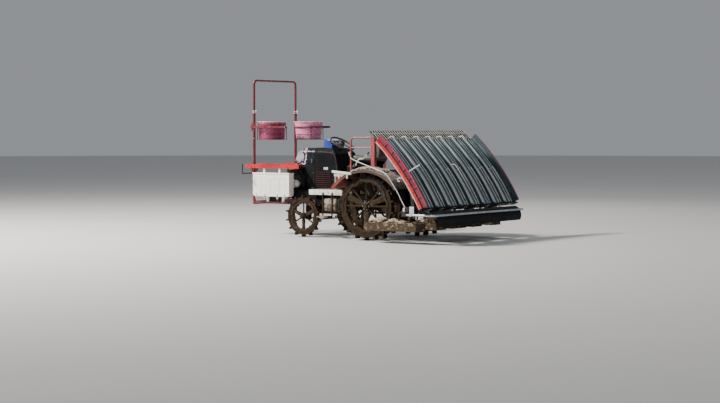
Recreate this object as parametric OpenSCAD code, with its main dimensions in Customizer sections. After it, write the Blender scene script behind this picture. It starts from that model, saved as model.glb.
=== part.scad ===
// Riding rice transplanter, eight rows, with front seedling carriers.
// Millimetres. +X is forward, +Y is the machine's left, +Z is up, and z = 0 is the ground.

/* [Wheels and stance] */
// Distance between the front and rear axles
wheelbase = 1200; // [1150:10:1250]
// From the front axle to the front end of the carriers
front_overhang = 1055; // [1030:5:1100]
// From the rear axle to the back of the rear guard pipe
rear_overhang = 1405; // [1395:5:1430]
// Radius of the front wheels over the lugs
front_wheel_r = 300; // [290:1:302]
// Radius of the rear wheels over the lugs
rear_wheel_r = 475; // [460:1:480]
// Middle of the front wheels, out from the centre line
front_track_y = 600; // [595:1:615]
// Middle of the inner rear wheels, out from the centre line
rear_track_y = 530; // [525:1:540]
// Distance between the inner and the outer rear wheel of one side
twin_pitch = 220; // [200:5:222]
// Width of a front lug
front_lug_w = 80; // [60:5:80]
// Width of a rear lug
rear_lug_w = 90; // [60:5:90]
// Number of lugs on a front wheel
front_lugs = 14; // [10:2:16]
// Number of lugs on each rear wheel
rear_lugs = 18; // [14:2:20]

/* [Chassis] */
// Outside width over the two frame rails
rail_out_w = 440; // [430:2:444]
// Width of one frame rail
rail_w = 50; // [40:2:52]
// Height of one frame rail
rail_h = 60; // [50:2:64]
// Top of the frame rails above the ground
rail_top = 600; // [598:1:602]
// Width of the operator's floor
floor_w = 1200; // [1160:10:1240]
// Top of the operator's floor above the ground
floor_top = 680; // [678:1:690]
// Thickness of the floor's edge
floor_t = 65; // [50:1:66]
// Top of the seat deck above the ground
seat_deck_top = 907; // [900:1:915]
// Top of the rear standing deck above the ground
rear_deck_top = 980; // [976:1:990]
// Width of the bonnet
bonnet_w = 500; // [470:5:505]
// Top of the bonnet above the ground
bonnet_top = 1268; // [1256:1:1270]

/* [Front carriers] */
// Distance between the two carrier posts
post_pitch = 1000; // [990:5:1010]
// Outside radius of a carrier post
post_r = 21; // [20:0.5:22]
// Top of the carrier posts above the ground
post_top = 1790; // [1760:5:1850]
// Top of the hoop above the ground
hoop_top = 2267; // [2200:5:2320]
// Middle height of the lower shelves
shelf_z = 1000; // [990:1:1010]
// Middle height of the upper rails
upper_rail_z = 1570; // [1565:1:1600]
// Outside radius of a tub at its rim
tub_rim_r = 218; // [212:1:220]
// Height of a tub
tub_h = 260; // [240:5:280]

/* [Planting part] */
// Number of rows
rows = 8; // [8:2:8]
// Distance between two rows
row_pitch = 300; // [298:1:302]
// Radius of the curved seedling table
table_r = 3230; // [3200:10:3260]
// Radius of the circle that the planting forks sweep
fork_r = 120; // [110:1:124]
// Length of the lift links between their pins
link_l = 580; // [576:1:584]
// Underside of the floats above the ground, as carried
float_z = 170; // [165:1:180]

/* [Hidden] */
$fn = 48;

// Colours
dark_red = "#8f1f22";
bright_red = "#c3262b";
cast_grey = "#4c4f50";
mud_brown = "#5b4a36";
pale = "#d9d6cc";
white = "#e6e6e2";
navy = "#1c2638";
charcoal = "#2a2c2f";
slate = "#5d6d70";
galvanised = "#9aa5ad";
tub_pink = "#c04a86";

// Places along the machine
total_l = front_overhang + wheelbase + rear_overhang;
front_x = total_l / 2;
rear_x = -total_l / 2;
rx = rear_x + rear_overhang;
fx = rx + wheelbase;
fz = front_wheel_r;
rz = rear_wheel_r;

// Running clearance of pins in bores, and the gap between sliding faces
run = 0.05;
slide_gap = 0.3;

// Chassis places
rail_in = rail_out_w / 2 - rail_w;
rail_out = rail_out_w / 2;
rail_bottom = rail_top - rail_h;
post_x = front_x - 75;
post_y = post_pitch / 2;
bar = 40;
front_plate_x = post_x - bar / 2;
tow_x = front_plate_x + 70;
rail_rear_x = rx - 135;
floor_front_x = fx - 95;
floor_rear_x = rx + 525;
floor_y = floor_w / 2;
floor_bottom = floor_top - floor_t;

// Front axle and steering
king_y = front_track_y - 120;
king_r = 20;
axle_z = fz + 85;
arm_l = 120;
tie_x = fx - arm_l;
tie_z = fz - 53;
steer_pin_r = 10;
front_spindle_r = 18;
spindle_boss_r = 34;
boss_gap = 6;
king_top = fz + 136;
rear_shaft_r = 25;
wheel_gap = 15;

// Fenders round the rear wheels
fender_in_y = rear_track_y - 75;
fender_out_y = rear_track_y + twin_pitch + 90;
fender_r = rear_wheel_r + 225;
fender_c = [rx - 5, rz - 200];
fender_t = 8;

// Bonnet and cowl
skin = 6;
hood_rear_x = fx + 70;
hood_front_x = fx + 425;
hood_bottom = floor_top - 15;
hood_hinge = [hood_front_x + 15, hood_bottom + 25];
cowl_front_x = hood_rear_x - 10;
cowl_rear_x = fx - 345;

// Steering wheel
column_tilt = 30;
wheel_c = [fx - 245, 0, bonnet_top + 62];
steer_r = 190;

// Lift linkage: pins in the side view as [x, z]
pin_r = 12;
low_front = [rx - 175, rz - 45];
top_front = [rx - 175, rz + 165];
low_rear = [low_front[0] - link_l, low_front[1]];
top_rear = [top_front[0] - link_l, top_front[1]];
cyl_front = [rx - 135, rz - 175];
cyl_rear = [low_front[0] - 280, low_front[1]];
cyl_v = cyl_rear - cyl_front;
cyl_l = norm(cyl_v);
cyl_a = atan2(cyl_v[1], cyl_v[0]);
plate_y = 118;
plate_t = 16;
link_y = plate_y + plate_t + 5;
link_t = 22;

// Planting part
table_y = rows * row_pitch / 2;
beam_x = rx - 905;
beam_w = 70;
beam_z = 460;
rotor_back = 1255;
rotor_up = 150;
rotor = [rx - rotor_back, float_z + rotor_up];
rotor_shaft_r = 15;
table_top = [rx - 515, 1385];
table_a1 = 132;
table_a2 = 152.3;
table_c = [table_top[0] - table_r * cos(table_a1), table_top[1] - table_r * sin(table_a1)];
table_t = 20;
float_h = 110;
case_y = [for (i = [0 : rows / 2 - 1]) (2 * i + 1 - rows / 2) * row_pitch];
row_y = [for (i = [0 : rows - 1]) (i + 0.5 - rows / 2) * row_pitch];

// A round bar between two points
module rod(p, q, r) {
  d = q - p;
  l = norm(d);
  translate(p) rotate([0, acos(d[2] / l), atan2(d[1], d[0])]) cylinder(h = l, r = r);
}

// A bent round bar through a list of points, with ball corners
module bent_rod(points, r) {
  for (i = [0 : len(points) - 2]) rod(points[i], points[i + 1], r);
  for (i = [1 : len(points) - 2]) translate(points[i]) sphere(r = r);
}

// A round bar along Y between two side planes
module bar_y(x, z, y0, y1, r) {
  translate([x, y0, z]) rotate([-90, 0, 0]) cylinder(h = y1 - y0, r = r);
}

// A block from one corner to the other
module block(a, b) {
  translate(a) cube(b - a);
}

// A side-view outline [x, z], drawn out along Y
module side_slab(y0, y1) {
  translate([0, y1, 0]) rotate([90, 0, 0]) linear_extrude(height = y1 - y0) children();
}

// The piece and its mirror image on the other side
module both_sides() {
  children();
  mirror([0, 1, 0]) children();
}

// The right-hand copy of a left-hand piece
module right_hand() {
  mirror([0, 1, 0]) children();
}

// A flat ring sector in the side view about a point
module ring_sector(c, r0, r1, a0, a1) {
  steps = 6;
  far = r1 * 1.3;
  translate(c) intersection() {
    difference() {
      circle(r = r1, $fn = 360);
      circle(r = r0, $fn = 360);
    }
    polygon([[0, 0], for (i = [0 : steps]) far * [cos(a0 + (a1 - a0) * i / steps),
      sin(a0 + (a1 - a0) * i / steps)]]);
  }
}

// A point of the seedling table at radius r and angle a, as [x, z]
function table_at(r, a) = table_c + r * [cos(a), sin(a)];

module chassis_frame() {
  color(cast_grey) difference() {
    union() {
      both_sides() block([rail_rear_x, rail_in, rail_bottom], [front_plate_x - 15, rail_out, rail_top]);
      block([front_plate_x - 15, -rail_out, rail_bottom - 100], [front_plate_x, rail_out, rail_top]);
      block([hood_front_x + 5, -rail_in, rail_top - 40], [hood_front_x + 25, rail_in, rail_top]);
      block([rx + 60, -rail_in, rail_bottom], [rx + 100, rail_in, rail_top - 20]);
      block([front_plate_x, -10, rail_bottom - 35], [tow_x + 25, 10, rail_top - 25]);
      both_sides() {
        block([hood_hinge[0] - 8, 131, rail_top - 5], [hood_hinge[0] + 8, 141, hood_hinge[1] + 8]);
        bar_y(hood_hinge[0], hood_hinge[1], 100, 136, 6);
      }
    }
    bar_y(tow_x, rail_bottom, -12, 12, 13);
    for (y = [-120, 120], z = [-20, 40])
      translate([front_plate_x - 20, y, rail_bottom + z]) rotate([0, 90, 0]) cylinder(h = 30, r = 6.5);
  }
}

module transmission_case() {
  front = floor_front_x + 220;
  rear = floor_front_x - 350;
  low = fz + 15;
  color(cast_grey) union() {
    side_slab(-rail_in, rail_in)
      polygon([[rear, low + 60], [rear + 60, low], [front - 60, low], [front, low + 50],
        [front, rail_top - 40], [rear, rail_top - 40]]);
    bar_y(fx - 60, low + 110, -rail_in - 0, rail_in, 105);
  }
}

module engine_block() {
  x0 = fx - 155;
  x1 = fx + 285;
  color(charcoal) union() {
    block([x0, -190, rail_top], [x1, 190, rail_top + 250]);
    block([x0 + 60, -140, rail_top + 250], [x1 - 90, 140, rail_top + 440]);
  }
}

module front_axle_housing() {
  boss_low = fz + spindle_boss_r + boss_gap;
  boss_top = fz + 145;
  color(mud_brown) both_sides() difference() {
    union() {
      bar_y(fx, axle_z, rail_in, king_y, 42);
      translate([fx, king_y, boss_low]) cylinder(h = boss_top - boss_low, r = 42);
    }
    translate([fx, king_y, boss_low - 1]) cylinder(h = king_top - boss_low + 6, r = king_r + run);
  }
}

// A left knuckle with its kingpin, wheel spindle, steering arm and tie rod pin
module knuckle() {
  color(mud_brown) union() {
    translate([fx, king_y, fz - 50]) cylinder(h = 80, r = 45);
    translate([fx, king_y, fz]) cylinder(h = king_top - fz, r = king_r);
    bar_y(fx, fz, king_y, front_track_y - 50, spindle_boss_r);
    bar_y(fx, fz, front_track_y - 50, front_track_y + 28, front_spindle_r);
    block([tie_x, king_y - 18, fz - 38], [fx, king_y + 18, fz - 18]);
    translate([tie_x, king_y, fz - 38]) cylinder(h = 20, r = 20);
    translate([tie_x, king_y, fz - 68]) cylinder(h = 34, r = steer_pin_r);
  }
}

module knuckle_left() {
  knuckle();
}

module knuckle_right() {
  right_hand() knuckle();
}

module tie_rod() {
  color(cast_grey) difference() {
    union() {
      bar_y(tie_x, tie_z, -king_y + 15, king_y - 15, 10);
      for (s = [-1, 1]) translate([tie_x, s * king_y, tie_z - 11]) cylinder(h = 22, r = 20);
    }
    for (s = [-1, 1]) translate([tie_x, s * king_y, tie_z - 12]) cylinder(h = 24, r = steer_pin_r + run);
  }
}

// Metal part of a spoked wheel on the Y axis: rim, spokes and hub
module spoked_wheel(y, rim_r, rim_w, spokes, spoke_r, hub_r) {
  difference() {
    bar_y(0, 0, y - rim_w / 2, y + rim_w / 2, rim_r);
    bar_y(0, 0, y - rim_w / 2 - 1, y + rim_w / 2 + 1, rim_r - 18);
  }
  for (i = [0 : spokes - 1])
    rotate([0, i * 360 / spokes, 0]) translate([0, y, hub_r - 10]) cylinder(h = rim_r - hub_r, r = spoke_r);
  bar_y(0, 0, y - rim_w / 2, y + rim_w / 2, hub_r);
}

// Rubber part of a wheel: a thin ring with upright lugs
module lugged_tyre(y, rim_r, out_r, ring_w, lug_w, lug_t, lugs) {
  ring_r = rim_r + (out_r - rim_r) * 0.45;
  difference() {
    union() {
      bar_y(0, 0, y - ring_w / 2, y + ring_w / 2, ring_r);
      for (i = [0 : lugs - 1])
        rotate([0, i * 360 / lugs, 0])
          block([-lug_t / 2, y - lug_w / 2, -out_r], [lug_t / 2, y + lug_w / 2, -ring_r + 6]);
    }
    bar_y(0, 0, y - lug_w, y + lug_w, rim_r);
  }
}

front_rim_r = front_wheel_r - 60;
rear_rim_r = rear_wheel_r - 88;

module front_wheel() {
  color(mud_brown) translate([fx, 0, fz]) difference() {
    union() {
      spoked_wheel(front_track_y, front_rim_r, 40, 6, 11, 48);
      bar_y(0, 0, front_track_y - 50 + wheel_gap, front_track_y + 40, 44);
    }
    bar_y(0, 0, front_track_y - 60, front_track_y + 32, front_spindle_r + run);
  }
}

module front_tyre() {
  color(charcoal) translate([fx, 0, fz])
    lugged_tyre(front_track_y, front_rim_r, front_wheel_r, 48, front_lug_w, 22, front_lugs);
}

module rear_wheel() {
  out_y = rear_track_y + twin_pitch;
  color(mud_brown) translate([rx, 0, rz]) difference() {
    union() {
      spoked_wheel(rear_track_y, rear_rim_r, 44, 8, 13, 60);
      spoked_wheel(out_y, rear_rim_r, 44, 8, 13, 52);
      bar_y(0, 0, rear_track_y - 75 + wheel_gap, rear_track_y + 60, 56);
      bar_y(0, 0, rear_track_y, out_y + 30, 40);
    }
    bar_y(0, 0, rear_track_y - 80, rear_track_y + 65, rear_shaft_r + run);
  }
}

module rear_tyre() {
  color(charcoal) translate([rx, 0, rz])
    for (y = [rear_track_y, rear_track_y + twin_pitch])
      lugged_tyre(y, rear_rim_r, rear_wheel_r, 54, rear_lug_w, 26, rear_lugs);
}

module front_wheel_left() { front_wheel(); }
module front_wheel_right() { right_hand() front_wheel(); }
module front_tyre_left() { front_tyre(); }
module front_tyre_right() { right_hand() front_tyre(); }
module rear_wheel_left() { rear_wheel(); }
module rear_wheel_right() { right_hand() rear_wheel(); }
module rear_tyre_left() { rear_tyre(); }
module rear_tyre_right() { right_hand() rear_tyre(); }

module rear_axle_housing() {
  tube_r = 50;
  end_y = rear_track_y - 75;
  color(mud_brown) union() {
    bar_y(rx, rz, -end_y, end_y, tube_r);
    block([rx - 105, -rail_in + 5, rz - 95], [rx + 105, rail_in - 5, rail_bottom]);
    both_sides() {
      block([rx - 40, rail_in + 5, rz], [rx + 40, rail_out - 5, rail_bottom]);
      bar_y(rx, rz, 0, rear_track_y + 60, rear_shaft_r);
    }
  }
}

// Plates behind the rear axle that carry the links and the lift cylinder
module hitch_bracket() {
  front = rx - 105;
  color(cast_grey) union() {
    both_sides() {
      side_slab(plate_y, plate_y + plate_t)
        polygon([[front, rail_bottom - 10], [top_front[0] + 20, top_front[1] + 30], [top_front[0] - 28, top_front[1] + 30],
          [low_front[0] - 28, low_front[1] - 30], [cyl_front[0] - 20, cyl_front[1] - 28],
          [cyl_front[0] + 20, cyl_front[1] - 28], [front, rz - 90]]);
      bar_y(low_front[0], low_front[1], plate_y, link_y + link_t + 6, pin_r);
    }
    bar_y(top_front[0], top_front[1], -plate_y, plate_y, pin_r);
    bar_y(cyl_front[0], cyl_front[1], -plate_y, plate_y, pin_r);
  }
}

module step_floor() {
  cut_x = fx - 175;
  color(pale) difference() {
    block([floor_rear_x, -floor_y, floor_bottom], [floor_front_x, floor_y, floor_top]);
    block([cut_x, -200, floor_bottom - 1], [floor_front_x + 1, 200, floor_top + 1]);
    block([floor_rear_x - 1, -floor_y + 30, floor_bottom - 1], [floor_front_x - 30, floor_y - 30, floor_top - 30]);
  }
  color(cast_grey) both_sides()
    block([floor_rear_x + 100, rail_in, rail_top], [floor_front_x - 130, rail_out, floor_top - 30]);
}

module operator_deck() {
  plate = 32;
  wide_x = rx + 395;
  step_x = rx + 273;
  riser_x = rx + 665;
  deck_rear_x = rx - 175;
  color(pale) difference() {
    union() {
      block([wide_x, -floor_y, seat_deck_top - plate], [riser_x, floor_y, seat_deck_top]);
      block([step_x - 8, -fender_in_y, seat_deck_top - plate], [wide_x, fender_in_y, seat_deck_top]);
      block([riser_x - 8, -floor_y + 20, floor_top], [riser_x, floor_y - 20, seat_deck_top - 10]);
      block([step_x - 8, -fender_in_y, seat_deck_top - plate], [step_x, fender_in_y, rear_deck_top]);
      block([deck_rear_x, -fender_in_y, rear_deck_top - 30], [step_x, fender_in_y, rear_deck_top]);
      both_sides() {
        block([rail_rear_x + 20, rail_in, rail_top], [rail_rear_x + 60, rail_out, rear_deck_top - 20]);
        block([step_x + 60, rail_in, rail_top], [step_x + 100, rail_out, seat_deck_top - 20]);
      }
    }
    for (x = [deck_rear_x + 40, deck_rear_x + 120], y = [-300, 300])
      translate([x, y, rear_deck_top - 31]) cylinder(h = 32, r = 5.5);
  }
}

// A flat arch over each pair of rear wheels, with side flanges
module rear_fenders() {
  c = fender_c;
  a0 = 38.5;
  a1 = 140.5;
  color(dark_red) both_sides() {
    side_slab(fender_in_y, fender_out_y) ring_sector(c, fender_r, fender_r + fender_t, a0, a1);
    side_slab(fender_in_y, fender_in_y + 6) ring_sector(c, fender_r - 60, fender_r + fender_t, a0, a1);
    side_slab(fender_out_y - 6, fender_out_y) ring_sector(c, fender_r - 30, fender_r + fender_t, a0, a1);
  }
}

module side_boxes() {
  x0 = floor_rear_x + 105;
  color(pale) both_sides() {
    block([x0, 350, floor_bottom - 235], [x0 + 225, floor_y, floor_bottom - 60]);
    for (x = [x0 + 20, x0 + 175]) block([x, 400, floor_bottom - 60], [x + 30, 430, floor_bottom + 35]);
  }
}

module foot_steps() {
  x0 = floor_rear_x + 150;
  x1 = floor_rear_x + 345;
  z = floor_bottom - 300;
  color(cast_grey) both_sides() {
    block([x0, floor_y + 20, z - 25], [x1, floor_y + 140, z]);
    for (x = [x0 + 10, x1 - 25]) {
      block([x, floor_y + 4, z - 15], [x + 15, floor_y + 20, floor_bottom + 30]);
      block([x, floor_y, floor_bottom + 10], [x + 15, floor_y + 6, floor_bottom + 30]);
    }
  }
}

module seat_base() {
  x0 = rx + 345;
  color(charcoal) union() {
    block([x0, -170, seat_deck_top], [x0 + 270, 170, seat_deck_top + 128]);
    both_sides() block([x0 - 30, 110, seat_deck_top + 128], [x0 + 300, 150, seat_deck_top + 163]);
    block([x0 - 40, -190, seat_deck_top + 163], [x0 + 310, 190, seat_deck_top + 173]);
  }
}

seat_z = seat_deck_top + 173;
seat_x0 = rx + 265;
seat_x1 = rx + 665;

module seat_cushion() {
  color("#1f2022") intersection() {
    side_slab(-225, 225)
      polygon([[seat_x0, seat_z], [seat_x1 - 30, seat_z], [seat_x1, seat_z + 30], [seat_x1 - 12, seat_z + 80],
        [seat_x1 - 60, seat_z + 95], [seat_x0 + 80, seat_z + 80], [seat_x0, seat_z + 88]]);
    translate([0, 0, seat_z - 1]) linear_extrude(height = 120)
      polygon([[seat_x0, -190], [seat_x1 - 70, -225], [seat_x1, -170], [seat_x1, 170], [seat_x1 - 70, 225],
        [seat_x0, 190]]);
  }
}

module seat_back() {
  color("#1f2022") side_slab(-190, 190)
    polygon([[seat_x0, seat_z + 20], [seat_x0 - 75, seat_z + 30], [seat_x0 - 120, seat_z + 290],
      [seat_x0 - 85, seat_z + 310], [seat_x0 - 50, seat_z + 290], [seat_x0, seat_z + 65]]);
}

// Side outline of the bonnet and cowl together, from the cowl's rear to the bonnet's nose
module nose_outline(inset) {
  x0 = cowl_rear_x + inset;
  x1 = hood_front_x - inset;
  zt = bonnet_top - inset;
  polygon([[x0, 0], [x0, zt - 262], [x0 + 40, zt - 82], [x0 + 130, zt], [x1 - 200, zt],
    [x1 - 125, zt - 18], [x1 - 60, zt - 72], [x1 - 18, zt - 170], [x1, zt - 290], [x1, 0]]);
}

// Front outline of the bonnet and cowl, with round upper corners
module nose_front(inset) {
  w = bonnet_w / 2 - inset;
  r = 90 - inset;
  zt = bonnet_top - inset;
  union() {
    translate([-w, 0]) square([2 * w, zt - r]);
    translate([-w + r, 0]) square([2 * w - 2 * r, zt]);
    for (s = [-1, 1]) translate([s * (w - r), zt - r]) circle(r = r);
  }
}

module nose_form(inset) {
  intersection() {
    side_slab(-400, 400) nose_outline(inset);
    translate([cowl_rear_x - 100, 0, 0]) rotate([90, 0, 90]) linear_extrude(height = 1200) nose_front(inset);
  }
}

louvre_pitch = 30;

module dash_cowl() {
  color(charcoal) difference() {
    union() {
      intersection() {
        nose_form(0);
        block([cowl_rear_x - 1, -400, floor_top], [cowl_front_x, 400, bonnet_top + 1]);
      }
      both_sides() for (i = [0 : 7]) {
        z = floor_top + 20 + i * louvre_pitch;
        block([cowl_rear_x + 110, bonnet_w / 2 - 2, z], [cowl_front_x - 25, bonnet_w / 2 + 6, z + 12]);
      }
    }
    intersection() {
      nose_form(skin);
      block([cowl_rear_x - 1, -400, floor_top - 1], [cowl_front_x + 1, 400, bonnet_top + 1]);
    }
    translate(wheel_c) rotate([0, -column_tilt, 0]) translate([0, 0, -130]) cylinder(h = 100, r = 22);
  }
}

module hood() {
  color(navy) difference() {
    union() {
      difference() {
        intersection() {
          nose_form(0);
          block([hood_rear_x, -400, hood_bottom], [hood_front_x + 1, 400, bonnet_top + 1]);
        }
        intersection() {
          nose_form(skin);
          block([hood_rear_x - 1, -400, hood_bottom - 1], [hood_front_x + 1, 400, bonnet_top + 1]);
        }
      }
      both_sides() block([hood_front_x - 2, 105, hood_bottom + 13], [hood_hinge[0] + 12, 125, hood_bottom + 37]);
      for (i = [0 : 5]) {
        z = hood_bottom + 65 + i * louvre_pitch;
        block([hood_front_x - 2, -150, z], [hood_front_x + 5, 150, z + 12]);
      }
    }
    both_sides() bar_y(hood_hinge[0], hood_hinge[1], 90, 130, 6 + run);
  }
}

module instrument_pod() {
  x1 = cowl_front_x - 93;
  x0 = x1 - 137;
  color("#23468f") side_slab(-150, 150)
    polygon([[x0, bonnet_top], [x1, bonnet_top], [x1, bonnet_top + 130], [x1 - 42, bonnet_top + 124],
      [x0 + 53, bonnet_top + 103], [x0, bonnet_top + 40]]);
}

// Column tube in the cowl and the steering wheel's shaft bore
module control_levers() {
  color(charcoal) {
    translate(wheel_c) rotate([0, -column_tilt, 0]) difference() {
      translate([0, 0, -120]) cylinder(h = 95, r = 22);
      translate([0, 0, -90]) cylinder(h = 90, r = 12 + run);
    }
    block([rx + 485, 260, seat_deck_top], [rx + 625, 340, seat_deck_top + 105]);
    for (x = [rx + 520, rx + 585]) {
      rod([x, 300, seat_deck_top + 100], [x + 30, 310, seat_deck_top + 290], 7);
      translate([x + 30, 310, seat_deck_top + 300]) sphere(r = 20);
    }
  }
}

module steering_wheel() {
  color(charcoal) translate(wheel_c) rotate([0, -column_tilt, 0]) union() {
    rotate_extrude($fn = 64) translate([steer_r - 13, 0]) circle(r = 13);
    for (a = [90, 210, 330]) rotate([0, 0, a]) translate([0, -12, -7]) cube([steer_r - 13, 24, 10]);
    translate([0, 0, -20]) cylinder(h = 40, r = 38);
    translate([0, 0, -80]) cylinder(h = 70, r = 12);
  }
}

guard_x = rx + 105;
guard_top = rear_deck_top + 440;

// A square rear post and a bent tube to the front on each side of the seat
module guard_rails() {
  r = 12;
  bend = 55;
  post = 58;
  y = fender_in_y - 30;
  front = guard_x + 390;
  color(bright_red) both_sides() {
    block([guard_x - post / 2, y - post / 2, rear_deck_top], [guard_x + post / 2, y + post / 2, guard_top + 14]);
    translate([guard_x + post / 2 - 3, y, guard_top]) rotate([0, 90, 0])
      cylinder(h = front - bend - guard_x - post / 2 + 3, r = r);
    translate([front - bend, y, guard_top - bend]) rotate([90, 0, 0])
      rotate_extrude(angle = 90, $fn = 64) translate([bend, 0]) circle(r = r);
    translate([front, y, seat_deck_top]) cylinder(h = guard_top - bend - seat_deck_top, r = r);
    translate([guard_x + post / 2 - 3, y, guard_top - 138]) rotate([0, 90, 0])
      cylinder(h = front - guard_x - post / 2 + 3, r = 8);
  }
}

cover_in = bonnet_w / 2 + 12;
cover_out = cover_in + 28;
lamp_r = 55;

// Round lamp bowls on stub brackets at the nose covers
module headlamps() {
  x = hood_front_x - 116;
  y = cover_out + 70;
  z = rail_top + 147;
  color(pale) both_sides() {
    translate([x - 42, y, z]) rotate([0, 90, 0])
      rotate_extrude($fn = 64) polygon([[0, 0], [22, 2], [40, 12], [lamp_r - 4, 30], [lamp_r, 46], [lamp_r, 80],
        [lamp_r - 6, 84], [0, 84]]);
    block([x - 14, cover_out + slide_gap, z - 16], [x + 14, y - 20, z + 16]);
  }
}

// Dark covers on both sides of the bonnet, over the front ends of the rails
module nose_covers() {
  x0 = hood_front_x - 210;
  x1 = hood_front_x + 100;
  low = rail_top;
  top = shelf_z - 50;
  base_top = hood_bottom - 10;
  color(charcoal) both_sides() {
    side_slab(cover_in, cover_out)
      polygon([[x0, low], [x1 - 45, low], [x1, low + 60], [x1, top - 60], [x1 - 50, top], [x0 + 70, top],
        [x0, top - 110]]);
    block([floor_front_x + 5, rail_out + slide_gap, rail_bottom - 10], [strut_x - 25, cover_out + 130, base_top]);
    for (i = [0 : 5]) {
      z = base_top + 75 + i * louvre_pitch;
      block([x1 - 150, cover_out - 2, z], [x1 - 25, cover_out + 5, z + 12]);
    }
  }
}

low_rail_z = 470;
strut_x = fx + 375;

module rack_posts() {
  wall = 3.5;
  color(dark_red) difference() {
    union() {
      both_sides() {
        translate([post_x, post_y, low_rail_z - 20]) cylinder(h = post_top - low_rail_z + 20, r = post_r);
        translate([post_x, post_y, post_top - 40]) cylinder(h = 40, r = post_r + 5);
        block([strut_x - 15, post_y - 15, low_rail_z - 15], [post_x, post_y + 15, low_rail_z + 15]);
        block([strut_x - 12, post_y - 39, low_rail_z - 15], [strut_x + 12, post_y - 15, shelf_z - 30]);
        block([strut_x - 15, rail_out, rail_bottom], [strut_x + 15, post_y - 15, rail_bottom + 30]);
      }
      block([front_plate_x, -post_y, low_rail_z - 30], [front_plate_x + bar, post_y, low_rail_z + 20]);
    }
    both_sides() translate([post_x, post_y, post_top - 180]) cylinder(h = 181, r = post_r - wall);
  }
}

module post_hoop() {
  r = 17.2;
  bend = 60;
  color(dark_red) union() {
    both_sides() {
      translate([post_x, post_y, post_top - 120]) cylinder(h = hoop_top - r - bend - post_top + 120, r = r);
      translate([post_x, post_y - bend, hoop_top - r - bend]) rotate([90, 0, 90])
        rotate_extrude(angle = 90, $fn = 64) translate([bend, 0]) circle(r = r);
    }
    bar_y(post_x, hoop_top - r, -post_y + bend, post_y - bend, r);
  }
}

shelf_out = 620;
shelf_in = 290;
shelf_l = 980;
shelf_rear_x = front_x - shelf_l;
shelf_short_l = 790;

module rack_shelves() {
  h = 60;
  inner_rear_x = front_x - shelf_short_l;
  z0 = shelf_z - h / 2;
  z1 = shelf_z + h / 2;
  color(bright_red) union() {
    both_sides() {
      block([shelf_rear_x, shelf_out - bar, z0], [front_x, shelf_out, z1]);
      block([inner_rear_x, shelf_in, z0], [front_x, shelf_in + 30, z1]);
      for (x = [inner_rear_x, strut_x - 15, post_x - post_r - 30])
        block([x, shelf_in, z0], [x + 30, shelf_out, z0 + 30]);
      for (y = [370, 450, 530])
        block([inner_rear_x, y, z0 + 30], [front_x - 30, y + 24, z0 + 36]);
    }
    block([post_x + post_r, -shelf_out, z0], [post_x + post_r + 30, shelf_out, z0 + 30]);
  }
}

// Tubs as [side, place along X, place along Y]
tub_spots = [["left", front_x - 240, 288], ["right", front_x - 484, -288]];
tub_base_r = tub_rim_r - 33;
tub_z0 = upper_rail_z - 180;
upper_rail_l = 680;

module tub_shape() {
  wall = 5;
  rotate_extrude($fn = 72) polygon([[0, 0], [tub_base_r, 0], [tub_rim_r - 8, tub_h - 14], [tub_rim_r, tub_h - 12],
    [tub_rim_r, tub_h], [tub_rim_r - 8 - wall, tub_h], [tub_base_r - wall, wall], [0, wall]]);
}

module tub_left() {
  color(tub_pink) translate([tub_spots[0][1], tub_spots[0][2], tub_z0]) tub_shape();
}

module tub_right() {
  color(tub_pink) translate([tub_spots[1][1], tub_spots[1][2], tub_z0]) tub_shape();
}

module rack_rails() {
  rail_y = post_y + post_r;
  b = 30;
  z0 = upper_rail_z - b / 2;
  reach = tub_rim_r - 14;
  color(dark_red) union() {
    both_sides() {
      block([front_x - upper_rail_l, rail_y, z0], [post_x + post_r + 9, rail_y + b, z0 + b]);
      block([post_x - 30, rail_y, z0 - 45], [post_x + 30, rail_y + 8, z0 + b + 45]);
    }
    for (t = tub_spots) {
      s = t[2] / abs(t[2]);
      translate([t[1], t[2], 0]) {
        translate([0, 0, z0 + 8]) linear_extrude(height = 14) difference() {
          circle(r = tub_rim_r + 6);
          circle(r = tub_rim_r - 11);
        }
        translate([0, 0, tub_z0 - 6]) linear_extrude(height = 6) difference() {
          circle(r = tub_rim_r + 4);
          circle(r = tub_rim_r - 70);
        }
        for (a = [45, 135, 225, 315])
          rotate([0, 0, a]) translate([tub_rim_r - 3, 0, tub_z0 - 6]) cylinder(h = z0 + 20 - tub_z0, r = 5);
      }
      for (x = [t[1] - 60, t[1] + 60])
        block([x - 12, min(s * (abs(t[2]) + reach), s * rail_y), z0 + 8],
          [x + 12, max(s * (abs(t[2]) + reach), s * rail_y), z0 + 22]);
    }
  }
}

module side_trays() {
  x0 = fx + 265;
  x1 = front_x - 130;
  z0 = low_rail_z + 95;
  z1 = shelf_z - 100;
  r = 40;
  color(white) both_sides() {
    side_slab(post_y - 10, post_y + 100) union() {
      translate([x0, z0 + r]) square([x1 - x0, z1 - z0 - r]);
      translate([x0 + r, z0]) square([x1 - x0 - 2 * r, r + 1]);
      for (x = [x0 + r, x1 - r]) translate([x, z0 + r]) circle(r = r);
    }
    for (x = [x0 + 160, x0 + 440]) {
      block([x, post_y - 10, low_rail_z + 15], [x + 30, post_y + 20, z0 + 1]);
      block([x, post_y + 80, z1 - 1], [x + 30, post_y + 100, shelf_z - 30]);
    }
  }
}

module marker_rods() {
  z = shelf_z - 105;
  color(charcoal) both_sides() {
    bent_rod([[post_x + post_r + 8, post_y - 20, z], [post_x + post_r + 8, post_y + 240, z],
      [post_x + post_r + 8, post_y + 240, z + 135]], 8);
  }
}

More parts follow.
